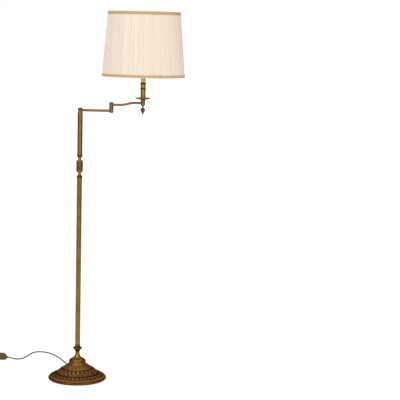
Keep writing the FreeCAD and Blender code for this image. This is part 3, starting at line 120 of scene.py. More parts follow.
card_paint = bpy.data.materials.new("card_paint")
card_paint.use_nodes = True
paint = card_paint.node_tree
paint.nodes.clear()
dim = add(paint, "Emission", {"Color": (0.3, 0.25, 0.2, 1), "Strength": 0.35})
add(paint, "OutputMaterial", {"Surface": dim.outputs[0]})
card_away, card_tall, card_sweep = 3.0, 3.2, math.radians(116)
for name, first in (("right_card", -32), ("left_card", 96)):
    bm = bmesh.new()
    post = [bm.verts.new((card_away, 0, height)) for height in (0.0, card_tall)]
    bmesh.ops.rotate(bm, verts=post, matrix=Matrix.Rotation(math.radians(first), 3, "Z"))
    bmesh.ops.spin(bm, geom=post + [bm.edges.new(post)], cent=(0, 0, 0), axis=(0, 0, 1), dvec=(0, 0, 0),
                   angle=card_sweep, steps=24, use_merge=False, use_duplicate=False)
    card_mesh = bpy.data.meshes.new(name)
    bm.to_mesh(card_mesh)
    bm.free()
    card_mesh.materials.append(card_paint)
    card = bpy.data.objects.new(name, card_mesh)
    bpy.context.scene.collection.objects.link(card)
    card.visible_camera = card.visible_diffuse = False
    card.visible_shadow = card.visible_transmission = False

floor_mesh = bpy.data.meshes.new("floor")
bm = bmesh.new()
bmesh.ops.create_grid(bm, x_segments=1, y_segments=1, size=45)
bm.to_mesh(floor_mesh)
bm.free()
floor = bpy.data.objects.new("floor", floor_mesh)
floor.location = (0, 0, -0.0004)
bpy.context.scene.collection.objects.link(floor)
floor_paint = bpy.data.materials.new("floor_paint")
floor_paint.use_nodes = True
paint = floor_paint.node_tree
paint.nodes.clear()
matt = add(paint, "BsdfDiffuse", {"Color": (0.5, 0.5, 0.5, 1)})
share = add(paint, "Math", {0: rays_seen(paint), 1: 0.6}, operation="MULTIPLY")
glow = add(paint, "Emission", {"Color": (1, 1, 1, 1), "Strength": share.outputs[0]})
lit = add(paint, "AddShader", {0: matt.outputs[0], 1: glow.outputs[0]})
add(paint, "OutputMaterial", {"Surface": lit.outputs[0]})
floor_mesh.materials.append(floor_paint)

# ---------------------------------------------------------------- felt and weight
# Under the base a disc of dark felt keeps the floor from scratches. The cast weight and
# the nut that holds the column are shut in above it.


def tone(red, green, blue):
    """A colour picked as 0 to 255 on a screen, as the shader wants it."""
    return tuple(((c / 255 + 0.055) / 1.055) ** 2.4 if c > 10 else c / 255 / 12.92
                 for c in (red, green, blue)) + (1.0,)


def group_tree(name, takes, gives):
    """An empty shader node group with its named inputs and outputs."""
    tree = bpy.data.node_groups.new(name, "ShaderNodeTree")
    for socket, kind in takes.items():
        tree.interface.new_socket(socket, in_out="INPUT", socket_type="NodeSocket" + kind)
    for socket, kind in gives.items():
        tree.interface.new_socket(socket, in_out="OUTPUT", socket_type="NodeSocket" + kind)
    return tree, tree.nodes.new("NodeGroupInput").outputs, tree.nodes.new("NodeGroupOutput").inputs


def between(tree, factor, low, high):
    """A colour between two colours, by a factor."""
    return add(tree, "MixRGB", {"Fac": factor, "Color1": low, "Color2": high}).outputs["Color"]


def spread(tree, value, low, high, new_low=0.0, new_high=1.0):
    """A value taken from one range to another, and held inside it."""
    return add(tree, "MapRange", {"Value": value, "From Min": low, "From Max": high,
                                  "To Min": new_low, "To Max": new_high}).outputs["Result"]


# Mottling is what any handled or cast surface shows: large soft patches and a fine grain.
mottling, m_in, m_out = group_tree(
    "mottling",
    {"Place": "Vector", "Light": "Color", "Dark": "Color", "Patches": "Float", "Grain": "Float",
     "Rough Low": "Float", "Rough High": "Float", "Depth": "Float"},
    {"Color": "Color", "Roughness": "Float", "Normal": "Vector"},
)
patches = add(mottling, "TexNoise", {"Vector": m_in["Place"], "Scale": m_in["Patches"], "Detail": 3.0})
grain = add(mottling, "TexNoise", {"Vector": m_in["Place"], "Scale": m_in["Grain"], "Detail": 4.0})
patchy = spread(mottling, patches.outputs["Fac"], 0.32, 0.68)
grainy = spread(mottling, grain.outputs["Fac"], 0.3, 0.7)
broad = add(mottling, "Math", {0: patchy, 1: 0.6}, operation="MULTIPLY").outputs[0]
both = add(mottling, "Math", {0: grainy, 1: 0.4, 2: broad}, operation="MULTIPLY_ADD").outputs[0]
mottling.links.new(between(mottling, both, m_in["Dark"], m_in["Light"]), m_out["Color"])
roughened = add(mottling, "MapRange", {"Value": both, "To Min": m_in["Rough High"],
                                       "To Max": m_in["Rough Low"]})
mottling.links.new(roughened.outputs["Result"], m_out["Roughness"])
grit = add(mottling, "Bump", {"Height": grainy, "Strength": 0.7, "Distance": m_in["Depth"]})
mottling.links.new(grit.outputs["Normal"], m_out["Normal"])


def mottled(name, light, dark, patches=25.0, grain=900.0, rough=(0.4, 0.6), depth=0.0001, **shader):
    """A material whose colour, roughness and surface all vary by the mottling."""
    material = bpy.data.materials.new(name)
    material.use_nodes = True
    tree = material.node_tree
    surface = tree.nodes["Principled BSDF"]
    spots = add(tree, "Group", node_tree=mottling)
    tree.links.new(add(tree, "TexCoord").outputs["Object"], spots.inputs["Place"])
    for socket, value in (("Light", light), ("Dark", dark), ("Patches", patches), ("Grain", grain),
                          ("Rough Low", rough[0]), ("Rough High", rough[1]), ("Depth", depth)):
        spots.inputs[socket].default_value = value
    for socket, target in (("Color", "Base Color"), ("Roughness", "Roughness"), ("Normal", "Normal")):
        tree.links.new(spots.outputs[socket], surface.inputs[target])
    if shader.get("Metallic"):
        surface.inputs["Specular Tint"].default_value = tuple(0.85 * c for c in light[:3]) + (1.0,)
    for socket, value in shader.items():
        surface.inputs[socket.replace("_", " ")].default_value = value
    return material


def dress(material, *names):
    """Give CAD pieces their finish."""
    for name in names:
        cad[name].data.materials.clear()
        cad[name].data.materials.append(material)


def base_colour(material):
    """A material's node tree, its Base Color socket and what feeds that socket."""
    tree = material.node_tree
    socket = tree.nodes["Principled BSDF"].inputs["Base Color"]
    return tree, socket, socket.links[0].from_socket


felt_pile = mottled("felt_pile", tone(52, 50, 47), tone(30, 29, 27), 60, 1600, (0.9, 1.0), 0.0004,
                    Sheen_Weight=0.4)
rough_iron = mottled("rough_iron", tone(72, 70, 68), tone(44, 43, 42), 40, 500, (0.6, 0.8), 0.0004)
zinc = mottled("zinc", tone(170, 170, 168), tone(140, 140, 138), 60, 900, (0.3, 0.45), 0.00004,
               Metallic=1.0)
dress(felt_pile, "felt_pad")
dress(rough_iron, "base_weight")
dress(zinc, "base_nut_and_washer", "column_nipples", "lamp_nipple", "switch_screws")

# ---------------------------------------------------------------- base
# The base is one thin brass casting: a flange of ribbed leaves, a dome with palmettes and
# scrolls, and plain turned rings up to the neck. Its hollows are painted darker as shade and
# its highest relief paler as a painted highlight.


def spun(profile, steps, loop=False):
    """A bmesh spun round an upright axis from its (radius, height) points in millimetres."""
    bm = bmesh.new()
    line = [bm.verts.new((r / 1000, 0, z / 1000)) for r, z in profile]
    edges = [bm.edges.new(pair) for pair in zip(line, line[1:])]
    if loop:
        edges.append(bm.edges.new((line[-1], line[0])))
    bmesh.ops.spin(bm, geom=line + edges, cent=(0, 0, 0), axis=(0, 0, 1), dvec=(0, 0, 0),
                   angle=math.tau, steps=steps, use_merge=True, use_duplicate=False)
    bmesh.ops.remove_doubles(bm, verts=bm.verts, dist=1e-6)
    bmesh.ops.recalc_face_normals(bm, faces=bm.faces)
    return bm


def finer(profile, step):
    """The profile's points, with more along each run so that none is longer than the step."""
    points = [profile[0]]
    for (r0, z0), (r1, z1) in zip(profile, profile[1:]):
        count = max(1, round(math.dist((r0, z0), (r1, z1)) / step))
        points += [(r0 + (r1 - r0) * i / count, z0 + (z1 - z0) * i / count) for i in range(1, count + 1)]
    return points


def made(name, bm, material, body, slot, *replaced):
    """A finished piece from its bmesh, riding on its body in place of its CAD nodes."""
    mesh = bpy.data.meshes.new(name)
    bm.to_mesh(mesh)
    bm.free()
    mesh.shade_smooth()
    mesh.materials.append(material)
    thing = bpy.data.objects.new(name, mesh)
    bpy.context.scene.collection.objects.link(thing)
    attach(thing, body)
    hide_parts(*replaced)
    return thing


def walled(thing, thickness, offset=-1.0):
    """Give a piece made of one surface its wall, in metres."""
    wall = thing.modifiers.new("wall", "SOLIDIFY")
    wall.thickness = thickness
    wall.offset = offset


def shifted(moves):
    """Move each vertex by its own vector, after all of them have been worked out."""
    for vert, move in moves:
        vert.co += move


def hump(value, middle, half):
    """A soft bump, 1 in the middle and 0 at its edges."""
    reach = abs(value - middle) / half
    return math.cos(reach * math.pi / 2) ** 2 if reach < 1 else 0.0


def folded(angle, count):
    """How far round one repeat a place is, from -1 to 1 with 0 in its middle."""
    return (angle * count / math.tau) % 1.0 * 2 - 1


dome_leaves, flange_leaves = 24, 36


def palmette(r, angle):
    """The dome's ornament: slim fanned leaves between curled ones, with veins pressed in."""
    across = folded(angle, dome_leaves)
    between_them = folded(angle + math.pi / dome_leaves, dome_leaves)
    up = (r - 61.5) / 27.0
    fan_half = 0.34 + 0.36 * math.sin(math.pi * min(1.0, max(0.0, up * 0.9)))
    fan = hump(across, 0, fan_half) ** 0.5 * hump(up, 0.45, 0.5) ** 0.4
    blades = 0.5 + 0.5 * math.cos((abs(across) * 3.4 - up * 2.6) * math.tau)
    curl = math.hypot(between_them * 9.6, r - 81.5)
    scroll = hump(curl, 3.5, 1.8) + 0.9 * hump(curl, 0, 1.3)
    small_leaf = hump(math.hypot(between_them * 9.0, (r - 70.0) * 0.7), 0, 4.0)
    notches = 0.7 + 0.3 * math.cos(between_them * 30 + up * 20)
    under = 0.8 * hump(r, 86.4, 1.5) * (0.45 + 0.55 * abs(math.cos(angle * 72)))
    frame_lines = 0.7 * hump(r, 88.5, 1.0) + 0.7 * hump(r, 62.8, 1.0)
    return min(1.1, max(0.2, fan * (0.55 + 0.5 * blades), scroll, small_leaf * notches, under, frame_lines))


def ribbed_leaf(r, angle):
    """The flange's ornament: lobed leaves and berries over a border of upright ribs."""
    across = folded(angle, flange_leaves)
    between_them = folded(angle + math.pi / flange_leaves, flange_leaves)
    out = (r - 92.0) / 30.0
    lobe_half = 0.5 + 0.4 * abs(math.cos(out * math.pi * 3.1))
    leaf = hump(across, 0, lobe_half) ** 0.5 * hump(out, 0.32, 0.38) ** 0.4
    veins = 0.55 + 0.45 * math.cos((out * 8.0 + abs(across) * 2.6) * math.tau)
    berry = hump(math.hypot(between_them * 9.0, r - 98.6), 0, 2.6)
    tip = 0.95 * hump(math.hypot(between_them * 9.0, (r - 105.6) * 0.8), 0, 3.0)
    border = hump(r, 116.4, 5.6) ** 0.4 * (0.15 + 0.85 * abs(math.cos(angle * 60)) ** 0.8)
    edge_lines = 0.65 * hump(r, 110.2, 0.9) + 0.55 * hump(r, 93.2, 1.0)
    return min(1.1, max(0.2, leaf * (0.45 + 0.55 * veins), berry, tip, border, edge_lines))


base_profile = finer([
    (119.2, 2.1), (122.2, 3.0), (123.8, 5.2), (123.9, 7.4), (122.9, 9.6), (121.0, 11.7),
    (115.0, 15.0), (109.0, 18.5), (103.0, 22.0), (97.0, 25.2), (92.6, 27.0), (91.2, 25.6),
    (90.4, 24.6), (89.7, 26.6), (88.8, 29.6), (85.0, 32.2), (79.0, 36.5), (73.0, 42.2), (67.0, 46.9),
    (62.4, 50.0), (61.4, 49.2),
    (60.9, 51.2), (59.7, 52.0), (58.5, 51.4), (57.8, 52.4), (55.0, 54.4), (51.5, 56.9), (50.7, 58.6),
    (49.0, 59.9), (44.6, 61.8), (43.9, 63.2), (42.4, 64.0), (40.4, 63.9), (38.8, 66.0), (37.0, 69.6),
    (36.0, 73.4), (34.6, 77.2), (30.0, 77.3),
], 1.3)
dome_inner, dome_outer, dome_relief = 61.8, 89.4, 2.1
flange_inner, flange_outer, flange_relief = 92.2, 123.0, 2.0
rim_inner, rim_top = 119, 0.0085
bead_inner, bead_outer, bead_relief = 58.2, 61.6, 0.35
bm = spun(base_profile, 432)
raised = bm.verts.layers.float.new("raised")
bm.normal_update()
lifted = []
for vert in bm.verts:
    r = math.hypot(vert.co.x, vert.co.y) * 1000
    angle = math.atan2(vert.co.y, vert.co.x)
    if dome_inner < r < dome_outer:
        height, most = palmette(r, angle), dome_relief
    elif flange_inner < r < flange_outer and vert.co.z > rim_top:
        height, most = ribbed_leaf(r, angle), flange_relief
    elif r > rim_inner and vert.co.z <= rim_top:
        height, most = 0.25 + 0.3 * abs(math.cos(angle * 48)), 0.0
    elif bead_inner < r < bead_outer:
        height, most = 0.75 + 0.25 * math.cos(angle * 120), bead_relief
    else:
        height, most = (0.15 if dome_outer <= r <= flange_inner else 0.62), 0.0
    vert[raised] = height
    lifted.append((vert, vert.normal * (height * most / 1000)))
shifted(lifted)
base_brass = mottled("base_brass", tone(144, 99, 50), tone(108, 70, 32), 45, 520, (0.38, 0.56), 0.0003,
                     Metallic=0.7)
tree, colour, mottle_colour = base_colour(base_brass)
height = add(tree, "Attribute", attribute_name="raised").outputs["Fac"]
# Painted shade: the colour goes darker where the relief is low, in the hollows, the groove by the flange and
# the foot of the rim. Painted highlight: it goes paler on the highest relief.
shade_in_hollows = between(tree, spread(tree, height, 0.2, 0.6), tone(58, 34, 14), mottle_colour)
highlight_on_relief = between(tree, spread(tree, height, 0.7, 1.0, 0.0, 0.9), shade_in_hollows, tone(206, 166, 108))
tree.links.new(highlight_on_relief, colour)
base_casting = made("base_casting", bm, base_brass, "stand", "antique_brass", "base_cover")
casting_thick = 0.0012
walled(base_casting, casting_thick)

# ---------------------------------------------------------------- column
# A turned neck and collar carry two thin tubes, the lower one reeded, with a carved
# barrel between spools where they join. All of it is brass under a brown lacquer.

pole_brass = mottled("pole_brass", tone(150, 120, 70), tone(118, 92, 52), 22, 700, (0.26, 0.38), 0.00006,
                     Metallic=0.85)
neck_brass = mottled("neck_brass", tone(150, 109, 55), tone(112, 76, 34), 34, 600, (0.26, 0.42), 0.0001,
                     Metallic=0.85)
ring_brass = mottled("ring_brass", tone(112, 80, 38), tone(82, 55, 25), 40, 700, (0.28, 0.42), 0.00006,
                     Metallic=0.85)
dress(neck_brass, "neck_casting")
dress(ring_brass, "disc_collar", "pole_seat_ring", "knop_rings")
dress(pole_brass, "lower_pole", "upper_pole", "pole_cap", "knop_spools")
dress(mottled("bare_brass", tone(196, 164, 98), tone(170, 136, 76), 40, 900, (0.22, 0.35), 0.00003,
              Metallic=1.0), "pole_plugs", "swivel_pin", "elbow_pin", "switch_contacts")

barrel_middle, carved_half, carved_deep = 918.6, 17.5, 0.9
barrel_profile = finer([
    (6.6, 893.8), (11.2, 893.8), (12.6, 895.0), (13.6, 897.4), (13.0, 899.4), (13.9, 901.2),
    (14.2, 906.0), (14.3, barrel_middle), (14.2, 931.2), (13.9, 936.0), (13.0, 937.8), (13.6, 939.8),
    (12.6, 942.2), (11.2, 943.4), (6.6, 943.4),
], 0.55)
bm = spun(barrel_profile, 192, loop=True)
raised = bm.verts.layers.float.new("raised")
bm.normal_update()
lifted = []
for vert in bm.verts:
    r = math.hypot(vert.co.x, vert.co.y) * 1000
    angle = math.atan2(vert.co.y, vert.co.x)
    up = (vert.co.z * 1000 - barrel_middle) / carved_half
    height = 0.6
    if abs(up) < 1 and r > 12.5:
        twist = folded(angle + up * 0.35, 8)
        leaf = hump(twist, 0, 0.86) ** 0.6
        veins = 0.75 + 0.25 * math.cos((up * 5 - abs(twist) * 2.2) * math.tau)
        height = leaf * veins * min(1, (1 - abs(up)) * 8)
        lifted.append((vert, vert.normal * ((height - 1.0) * carved_deep / 1000)))
    vert[raised] = height
shifted(lifted)
carved_brass = mottled("carved_brass", tone(146, 108, 60), tone(110, 76, 38), 60, 700, (0.34, 0.5), 0.0001,
                       Metallic=0.85)
tree, colour, mottle_colour = base_colour(carved_brass)
height = add(tree, "Attribute", attribute_name="raised").outputs["Fac"]
# Painted shade: darker where the carving is low between the leaves. Painted highlight: paler on the leaves'
# tops.
shade_in_hollows = between(tree, spread(tree, height, 0.0, 0.5), tone(74, 48, 26), mottle_colour)
highlight_on_relief = between(tree, spread(tree, height, 0.78, 1.0, 0.0, 0.6), shade_in_hollows, tone(190, 152, 96))
tree.links.new(highlight_on_relief, colour)
made("carved_barrel", bm, carved_brass, "stand", "antique_brass", "knop_barrel")

# ---------------------------------------------------------------- arms
# Two brass tubes swing flat on turned knuckles, one on the column and one at the elbow.
# The knuckles' small caps and the finial are a darker brass.

arm_brass = mottled("arm_brass", tone(158, 114, 72), tone(120, 82, 48), 30, 700, (0.26, 0.4), 0.00008,
                    Metallic=0.85)
cap_brass = mottled("cap_brass", tone(124, 84, 48), tone(92, 60, 32), 40, 700, (0.34, 0.5), 0.00008,
                    Metallic=0.8)
dress(arm_brass, "first_arm_knuckle", "first_arm_tube", "elbow_lower_knuckle", "elbow_upper_knuckle",
      "second_arm_tube", "lamp_hub")
dress(cap_brass, "swivel_cap", "elbow_cap", "finial")
dress(mottled("fibre_washer", tone(60, 50, 40), tone(42, 34, 27), 80, 1200, (0.6, 0.75), 0.00004),
      "elbow_washer")

# ---------------------------------------------------------------- candle
# On the second arm's end stand a thin drip pan, a ringed cup and an ivory sleeve like a
# candle, with the lampholder and a pearl bulb inside the shade.

cup_brass = mottled("cup_brass", tone(186, 150, 92), tone(150, 116, 64), 45, 800, (0.26, 0.36), 0.00006,
                    Metallic=0.85)
tree, colour, plain = base_colour(cup_brass)
upwards = add(tree, "SeparateXYZ", {"Vector": add(tree, "TexCoord").outputs["Object"]}).outputs["Z"]
for middle, half in ((1.2735, 0.0032), (1.2515, 0.0026), (1.2082, 0.0014)):
    ring = add(tree, "Math", {0: upwards, 1: middle, 2: half}, operation="COMPARE").outputs[0]
    plain = between(tree, ring, plain, tone(88, 60, 32))
tree.links.new(plain, colour)
dress(cup_brass, "candle_cup")
dress(mottled("pan_brass", tone(166, 126, 84), tone(134, 98, 62), 30, 700, (0.32, 0.46), 0.00008,
              Metallic=0.8), "drip_pan")
dress(mottled("ivory_sleeve", tone(244, 222, 188), tone(230, 204, 168), 60, 900, (0.38, 0.5), 0.00006),
      "candle_sleeve")
dress(mottled("holder_shell", tone(224, 218, 204), tone(212, 205, 190), 70, 1100, (0.35, 0.45), 0.00004),
      "lampholder_shell", "shade_rings")
dress(mottled("holder_ceramic", tone(232, 230, 222), tone(220, 217, 208), 70, 900, (0.2, 0.3), 0.00003),
      "lampholder_core")
dress(mottled("bulb_thread", tone(206, 206, 204), tone(180, 180, 178), 70, 1000, (0.25, 0.35), 0.00003,
              Metallic=1.0), "bulb_cap")
pearl_glass = mottled("pearl_glass", tone(250, 249, 244), tone(240, 238, 230), 30, 1400, (0.18, 0.3),
                      0.00001, Transmission_Weight=0.45, IOR=1.46)
dress(pearl_glass, "bulb_glass")

# ---------------------------------------------------------------- shade
# A white wire frame of two rings and six struts carries a taut cream lining and, outside
# it, fine knife pleats pressed a little unevenly. Woven braid binds both edges.

shade_x = 262.5
shade_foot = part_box("shade_braids")[0].z * 1000
shade_tall = 270.5
cone_low, cone_high = 175.0, 152.4


def cone_radius(height):
    """The shade's outer radius in millimetres, at a height above its lower edge."""
    return cone_low - (cone_low - cone_high) * height / shade_tall


def hung(bm, radius):
    """Put a spun piece at the shade's place, with a UV map of metres round it and metres up."""
    bmesh.ops.translate(bm, verts=bm.verts, vec=(shade_x / 1000, 0, 0))
    layer = bm.loops.layers.uv.new("wrap")
    for face in bm.faces:
        turns = [math.atan2(loop.vert.co.y, loop.vert.co.x - shade_x / 1000) for loop in face.loops]
        seam = max(turns) - min(turns) > math.pi
        for loop, turn in zip(face.loops, turns):
            loop[layer].uv = ((turn + math.tau if seam and turn < 0 else turn) * radius, loop.vert.co.z)


# Cloth is threads over and under each other, with some thicker than the rest.
weave, w_in, w_out = group_tree(
    "weave",
    {"Place": "Vector", "Light": "Color", "Dark": "Color", "Threads": "Float", "Depth": "Float"},
    {"Color": "Color", "Roughness": "Float", "Normal": "Vector"},
)
thread_wave = {"Vector": w_in["Place"], "Scale": w_in["Threads"], "Distortion": 0.6, "Detail Scale": 2.0}
warp = add(weave, "TexWave", thread_wave, bands_direction="X").outputs["Fac"]
weft = add(weave, "TexWave", thread_wave, bands_direction="Y").outputs["Fac"]
threads = add(weave, "Math", {0: warp, 1: weft}, operation="MULTIPLY").outputs[0]
stretched = add(weave, "Mapping", {"Vector": w_in["Place"], "Scale": (1.0, 0.04, 1.0)}).outputs["Vector"]
slubs = add(weave, "TexNoise", {"Vector": stretched, "Scale": 260.0, "Detail": 2.0})
slubby = spread(weave, slubs.outputs["Fac"], 0.3, 0.7)
cloth_colour = between(weave, slubby, w_in["Dark"], w_in["Light"])
# Painted shade: between the threads the cloth is painted a little darker.
shade_in_gaps = spread(weave, threads, 0.0, 1.0, 0.15, 0.0)
weave.links.new(between(weave, shade_in_gaps, cloth_colour, w_in["Dark"]), w_out["Color"])
weave.links.new(spread(weave, slubby, 0, 1, 0.92, 0.8), w_out["Roughness"])
thread_relief = add(weave, "Bump", {"Height": threads, "Strength": 0.5, "Distance": w_in["Depth"]})
weave.links.new(thread_relief.outputs["Normal"], w_out["Normal"])


def cloth(name, light, dark, threads, depth, sheen=0.15):
    """A woven material that follows a piece's own wrap of UVs."""
    material = bpy.data.materials.new(name)
    material.use_nodes = True
    tree = material.node_tree
    surface = tree.nodes["Principled BSDF"]
    woven = add(tree, "Group", node_tree=weave)
    tree.links.new(add(tree, "UVMap", uv_map="wrap").outputs["UV"], woven.inputs["Place"])
    for socket, value in (("Light", light), ("Dark", dark), ("Threads", threads), ("Depth", depth)):
        woven.inputs[socket].default_value = value
    for socket, target in (("Color", "Base Color"), ("Roughness", "Roughness"), ("Normal", "Normal")):
        tree.links.new(woven.outputs[socket], surface.inputs[target])
    surface.inputs["Sheen Weight"].default_value = sheen
    return material


white_enamel = mottled("white_enamel", tone(232, 230, 224), tone(222, 219, 211), 60, 900, (0.3, 0.42),
                       0.00003)
dress(white_enamel, "shade_wire_rings", "shade_struts", "shade_spider")

pleat_count = 72
pleat_depth = 1.5
fold_at = (0.0, 0.2, 0.4, 0.6, 0.78, 0.9, 0.955, 0.985)
turn_under = 0.9
columns = pleat_count * len(fold_at)
cover_edge, cover_rows = 0.7, 26
cloth_thick = 0.0003
chance = random.Random(7)
edges_at = [0.0]
for _ in range(pleat_count):
    edges_at.append(edges_at[-1] + chance.uniform(0.62, 1.38))
edges_at = [e / edges_at[-1] for e in edges_at]
pleat_lean = [chance.uniform(-1, 1) for _ in range(pleat_count)]
pleat_lift = [chance.uniform(0.45, 1.0) for _ in range(pleat_count)]
pleat_tone = [chance.random() for _ in range(pleat_count)]

heights = [cover_edge + i * (shade_tall - 2 * cover_edge) / cover_rows for i in range(cover_rows + 1)]
bm = spun([(cone_radius(h) - 1.3, shade_foot + h) for h in heights], columns)
folds = bm.verts.layers.float.new("fold")
tones = bm.verts.layers.float.new("faded")
for vert in bm.verts:
    turn = (math.atan2(vert.co.y, vert.co.x) / math.tau) % 1.0
    pleat, part = divmod(round(turn * columns) % columns, len(fold_at))
    across = fold_at[part]
    height = vert.co.z * 1000 - shade_foot
    slack = math.sin(math.pi * height / shade_tall)
    start, end = edges_at[pleat], edges_at[pleat + 1]
    angle = (start + (end - start) * across) * math.tau
    angle += pleat_lean[pleat] * 0.0016 * slack * math.sin(height / 41 + pleat)
    sunk = across / turn_under if across < turn_under else (1 - across) / (1 - turn_under)
    inward = pleat_depth * pleat_lift[pleat] * sunk
    inward += 0.25 * math.sin(pleat * 1.7 + height / 60) * slack
    r = cone_radius(height) - 1.35 - max(0.0, min(2.1, inward))
    vert.co.x, vert.co.y = math.cos(angle) * r / 1000, math.sin(angle) * r / 1000
    vert[folds] = min(1.0, inward / pleat_depth)
    vert[tones] = pleat_tone[pleat]
hung(bm, radius=0.164)
pleated_cloth = cloth("pleated_cloth", tone(248, 236, 224), tone(243, 227, 210), 160.0, 0.0001)
tree, colour, plain = base_colour(pleated_cloth)
fold = add(tree, "Attribute", attribute_name="fold").outputs["Fac"]
faded = add(tree, "Attribute", attribute_name="faded").outputs["Fac"]
uneven = between(tree, spread(tree, faded, 0, 1, 0.0, 0.8), plain, tone(241, 220, 197))
# Painted shade: deep in the folds of the pleats the cloth is painted darker.
shaded = between(tree, spread(tree, fold, 0.5, 1.0, 0.0, 0.35), uneven, tone(226, 203, 178))
tree.links.new(shaded, colour)
pleats = made("pleated_cover", bm, pleated_cloth, "second_arm", "pleated_fabric", "shade_cover")
walled(pleats, cloth_thick)

lining_inset, lining_foot, lining_tall, lining_rows = 7.4, 4.6, shade_tall - 5.2, 12
heights = [lining_foot + i * lining_tall / lining_rows for i in range(lining_rows + 1)]
bm = spun([(cone_radius(h) - lining_inset, shade_foot + h) for h in heights], 192)
for vert in bm.verts:
    angle = math.atan2(vert.co.y, vert.co.x)
    height = vert.co.z * 1000 - shade_foot
    taut = 1 - 0.0022 * math.sin(math.pi * height / shade_tall) * math.cos(angle * 3) ** 2
    vert.co.x *= taut
    vert.co.y *= taut
hung(bm, radius=0.156)
lining_cloth = cloth("lining_cloth", tone(246, 240, 230), tone(234, 224, 210), 220.0, 0.00008)
lining = made("lining", bm, lining_cloth, "second_arm", "lining_fabric", "shade_lining")
walled(lining, cloth_thick)

braid_cloth = cloth("braid_cloth", tone(223, 191, 147), tone(196, 161, 115), 260.0, 0.0002, 0.25)
tree, colour, plain = base_colour(braid_cloth)
strand = add(tree, "Attribute", attribute_name="strand").outputs["Fac"]
# Painted shade: the braid is painted darker where it is sunk between its strands.
tree.links.new(between(tree, spread(tree, strand, 0.0, 0.55, 0.75, 0.0), plain, tone(158, 124, 82)), colour)
braid_wide, braid_edge, braid_rows = 12.0, 0.1, 18
braid_repeats, braid_swell = 160, 0.9
for name, foot in (("lower_braid", 0.0), ("upper_braid", shade_tall - braid_wide)):
    heights = [foot + braid_edge + (braid_wide - 2 * braid_edge) * i / braid_rows
               for i in range(braid_rows + 1)]
    outer = [(cone_radius(h) - 0.45, shade_foot + h) for h in heights]
    inner = [(r - 0.4, z) for r, z in reversed(outer[::9])]
    bm = spun(outer + inner, 720, loop=True)
    strands = bm.verts.layers.float.new("strand")
    for vert in bm.verts:
        height = vert.co.z * 1000 - shade_foot - foot
        r = math.hypot(vert.co.x, vert.co.y) * 1000
        if r < cone_radius(height + foot) - 0.6:
            vert[strands] = 0.5
            continue
        around = math.atan2(vert.co.y, vert.co.x) * braid_repeats / math.tau
        from_middle = abs(height * 2 / braid_wide - 1)
        if from_middle > 0.82:
            vert[strands] = 0.55 + 0.45 * abs(math.sin(around * 4 * math.pi))
        else:
            vert[strands] = abs(math.sin((around * 2 + from_middle * 1.1) * math.pi))
        swell = 1 + (vert[strands] * 0.9 - 0.45) * braid_swell / r
        vert.co.x *= swell
        vert.co.y *= swell
    hung(bm, radius=0.17)
    made(name, bm, braid_cloth, "second_arm", "gold_braid", "shade_braids")

# ---------------------------------------------------------------- lead
# A round two-core lead leaves a rubber bush at the back of the base, lies in a loose
# curve to the foot switch, and is coiled and tied beyond it, with its plug beside it.


def laid(name, route, across, material):
    """A lead laid along its route's points, in millimetres."""
    line = bpy.data.curves.new(name, "CURVE")
    line.dimensions = "3D"
    spline = line.splines.new("NURBS")
    spline.points.add(len(route) - 1)
    for point, (x, y, z) in zip(spline.points, route):
        point.co = (x / 1000, y / 1000, z / 1000, 1)
    spline.order_u = 3
    spline.use_endpoint_u = True
    spline.resolution_u = 6
    line.bevel_depth = across / 2000
    line.bevel_resolution = 4
    line.use_fill_caps = True
    line.materials.append(material)
    lead = bpy.data.objects.new(name, line)
    bpy.context.scene.collection.objects.link(lead)
    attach(lead, "stand")
    return lead


sheath = mottled("lead_sheath", tone(106, 87, 60), tone(80, 63, 41), 50, 1200, (0.45, 0.56), 0.00003,
                 Specular_IOR_Level=0.3)
dress(sheath, "column_cable", "first_arm_flex", "second_arm_flex")
dress(mottled("dark_rubber", tone(58, 46, 34), tone(42, 33, 25), 60, 1200, (0.5, 0.62), 0.00004),
      "cord_bush", "switch_glands")

lead_across = 5.5
to_switch = [
    (-35.4, 142.1, 8.6), (-41.8, 163.7, 7.2), (-50.3, 187.7, 3.8), (-67, 231, 2.8), (-87, 281, 2.8),
    (-109, 334, 2.8), (-133, 382, 2.8), (-154, 413, 2.8), (-174, 435, 2.8), (-194, 449, 2.8),
    (-214, 454, 2.8), (-232, 448, 2.8), (-245, 431, 2.8), (-254, 404, 2.8), (-262, 368, 2.8),
    (-270, 340, 2.8), (-280, 319, 2.8), (-293, 306, 2.8), (-310, 302, 3.8), (-327, 308, 6.6),
    (-341.1, 312, 8.5),
]
lead = laid("lead_to_switch", to_switch, lead_across, sheath)
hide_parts("cord_lead")

coil_x, coil_y = -548.0, 345.0
coil_outside, coil_narrows = 36.3, 11.8
lying, second_layer = 2.8, 5.9
rise_from, rise_over = 0.47, 0.06
coil_turns, steps_each = 5.5, 14
whole = round(coil_turns * steps_each)
coiled = [(-443.5, 312, 8.5), (-461, 311, 7.1), (-480, 309, 3.6), (-504, 308.2, lying), (-528, 308.2, lying)]
for i in range(whole + 1):
    turn = math.radians(-90 - 360 * i / steps_each)
    far = i / whole
    r = coil_outside - coil_narrows * (1 - abs(2 * far - 1))
    rise = min(1.0, max(0.0, (far - rise_from) / rise_over))
    coiled.append((coil_x + r * math.cos(turn), coil_y + r * math.sin(turn),
                   lying + second_layer * rise * rise * (3 - 2 * rise)))
coiled += [(-532, 384.2, 7.6), (-518, 387.0, 4.8), (-504, 388.8, 4.9), (-493, 389.6, 8.4),
           (-484.2, 389.75, 9.5)]
rest_of_lead = laid("lead_to_plug", coiled, lead_across, sheath)
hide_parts("cord_tail", "cord_coil", "plug_cord")

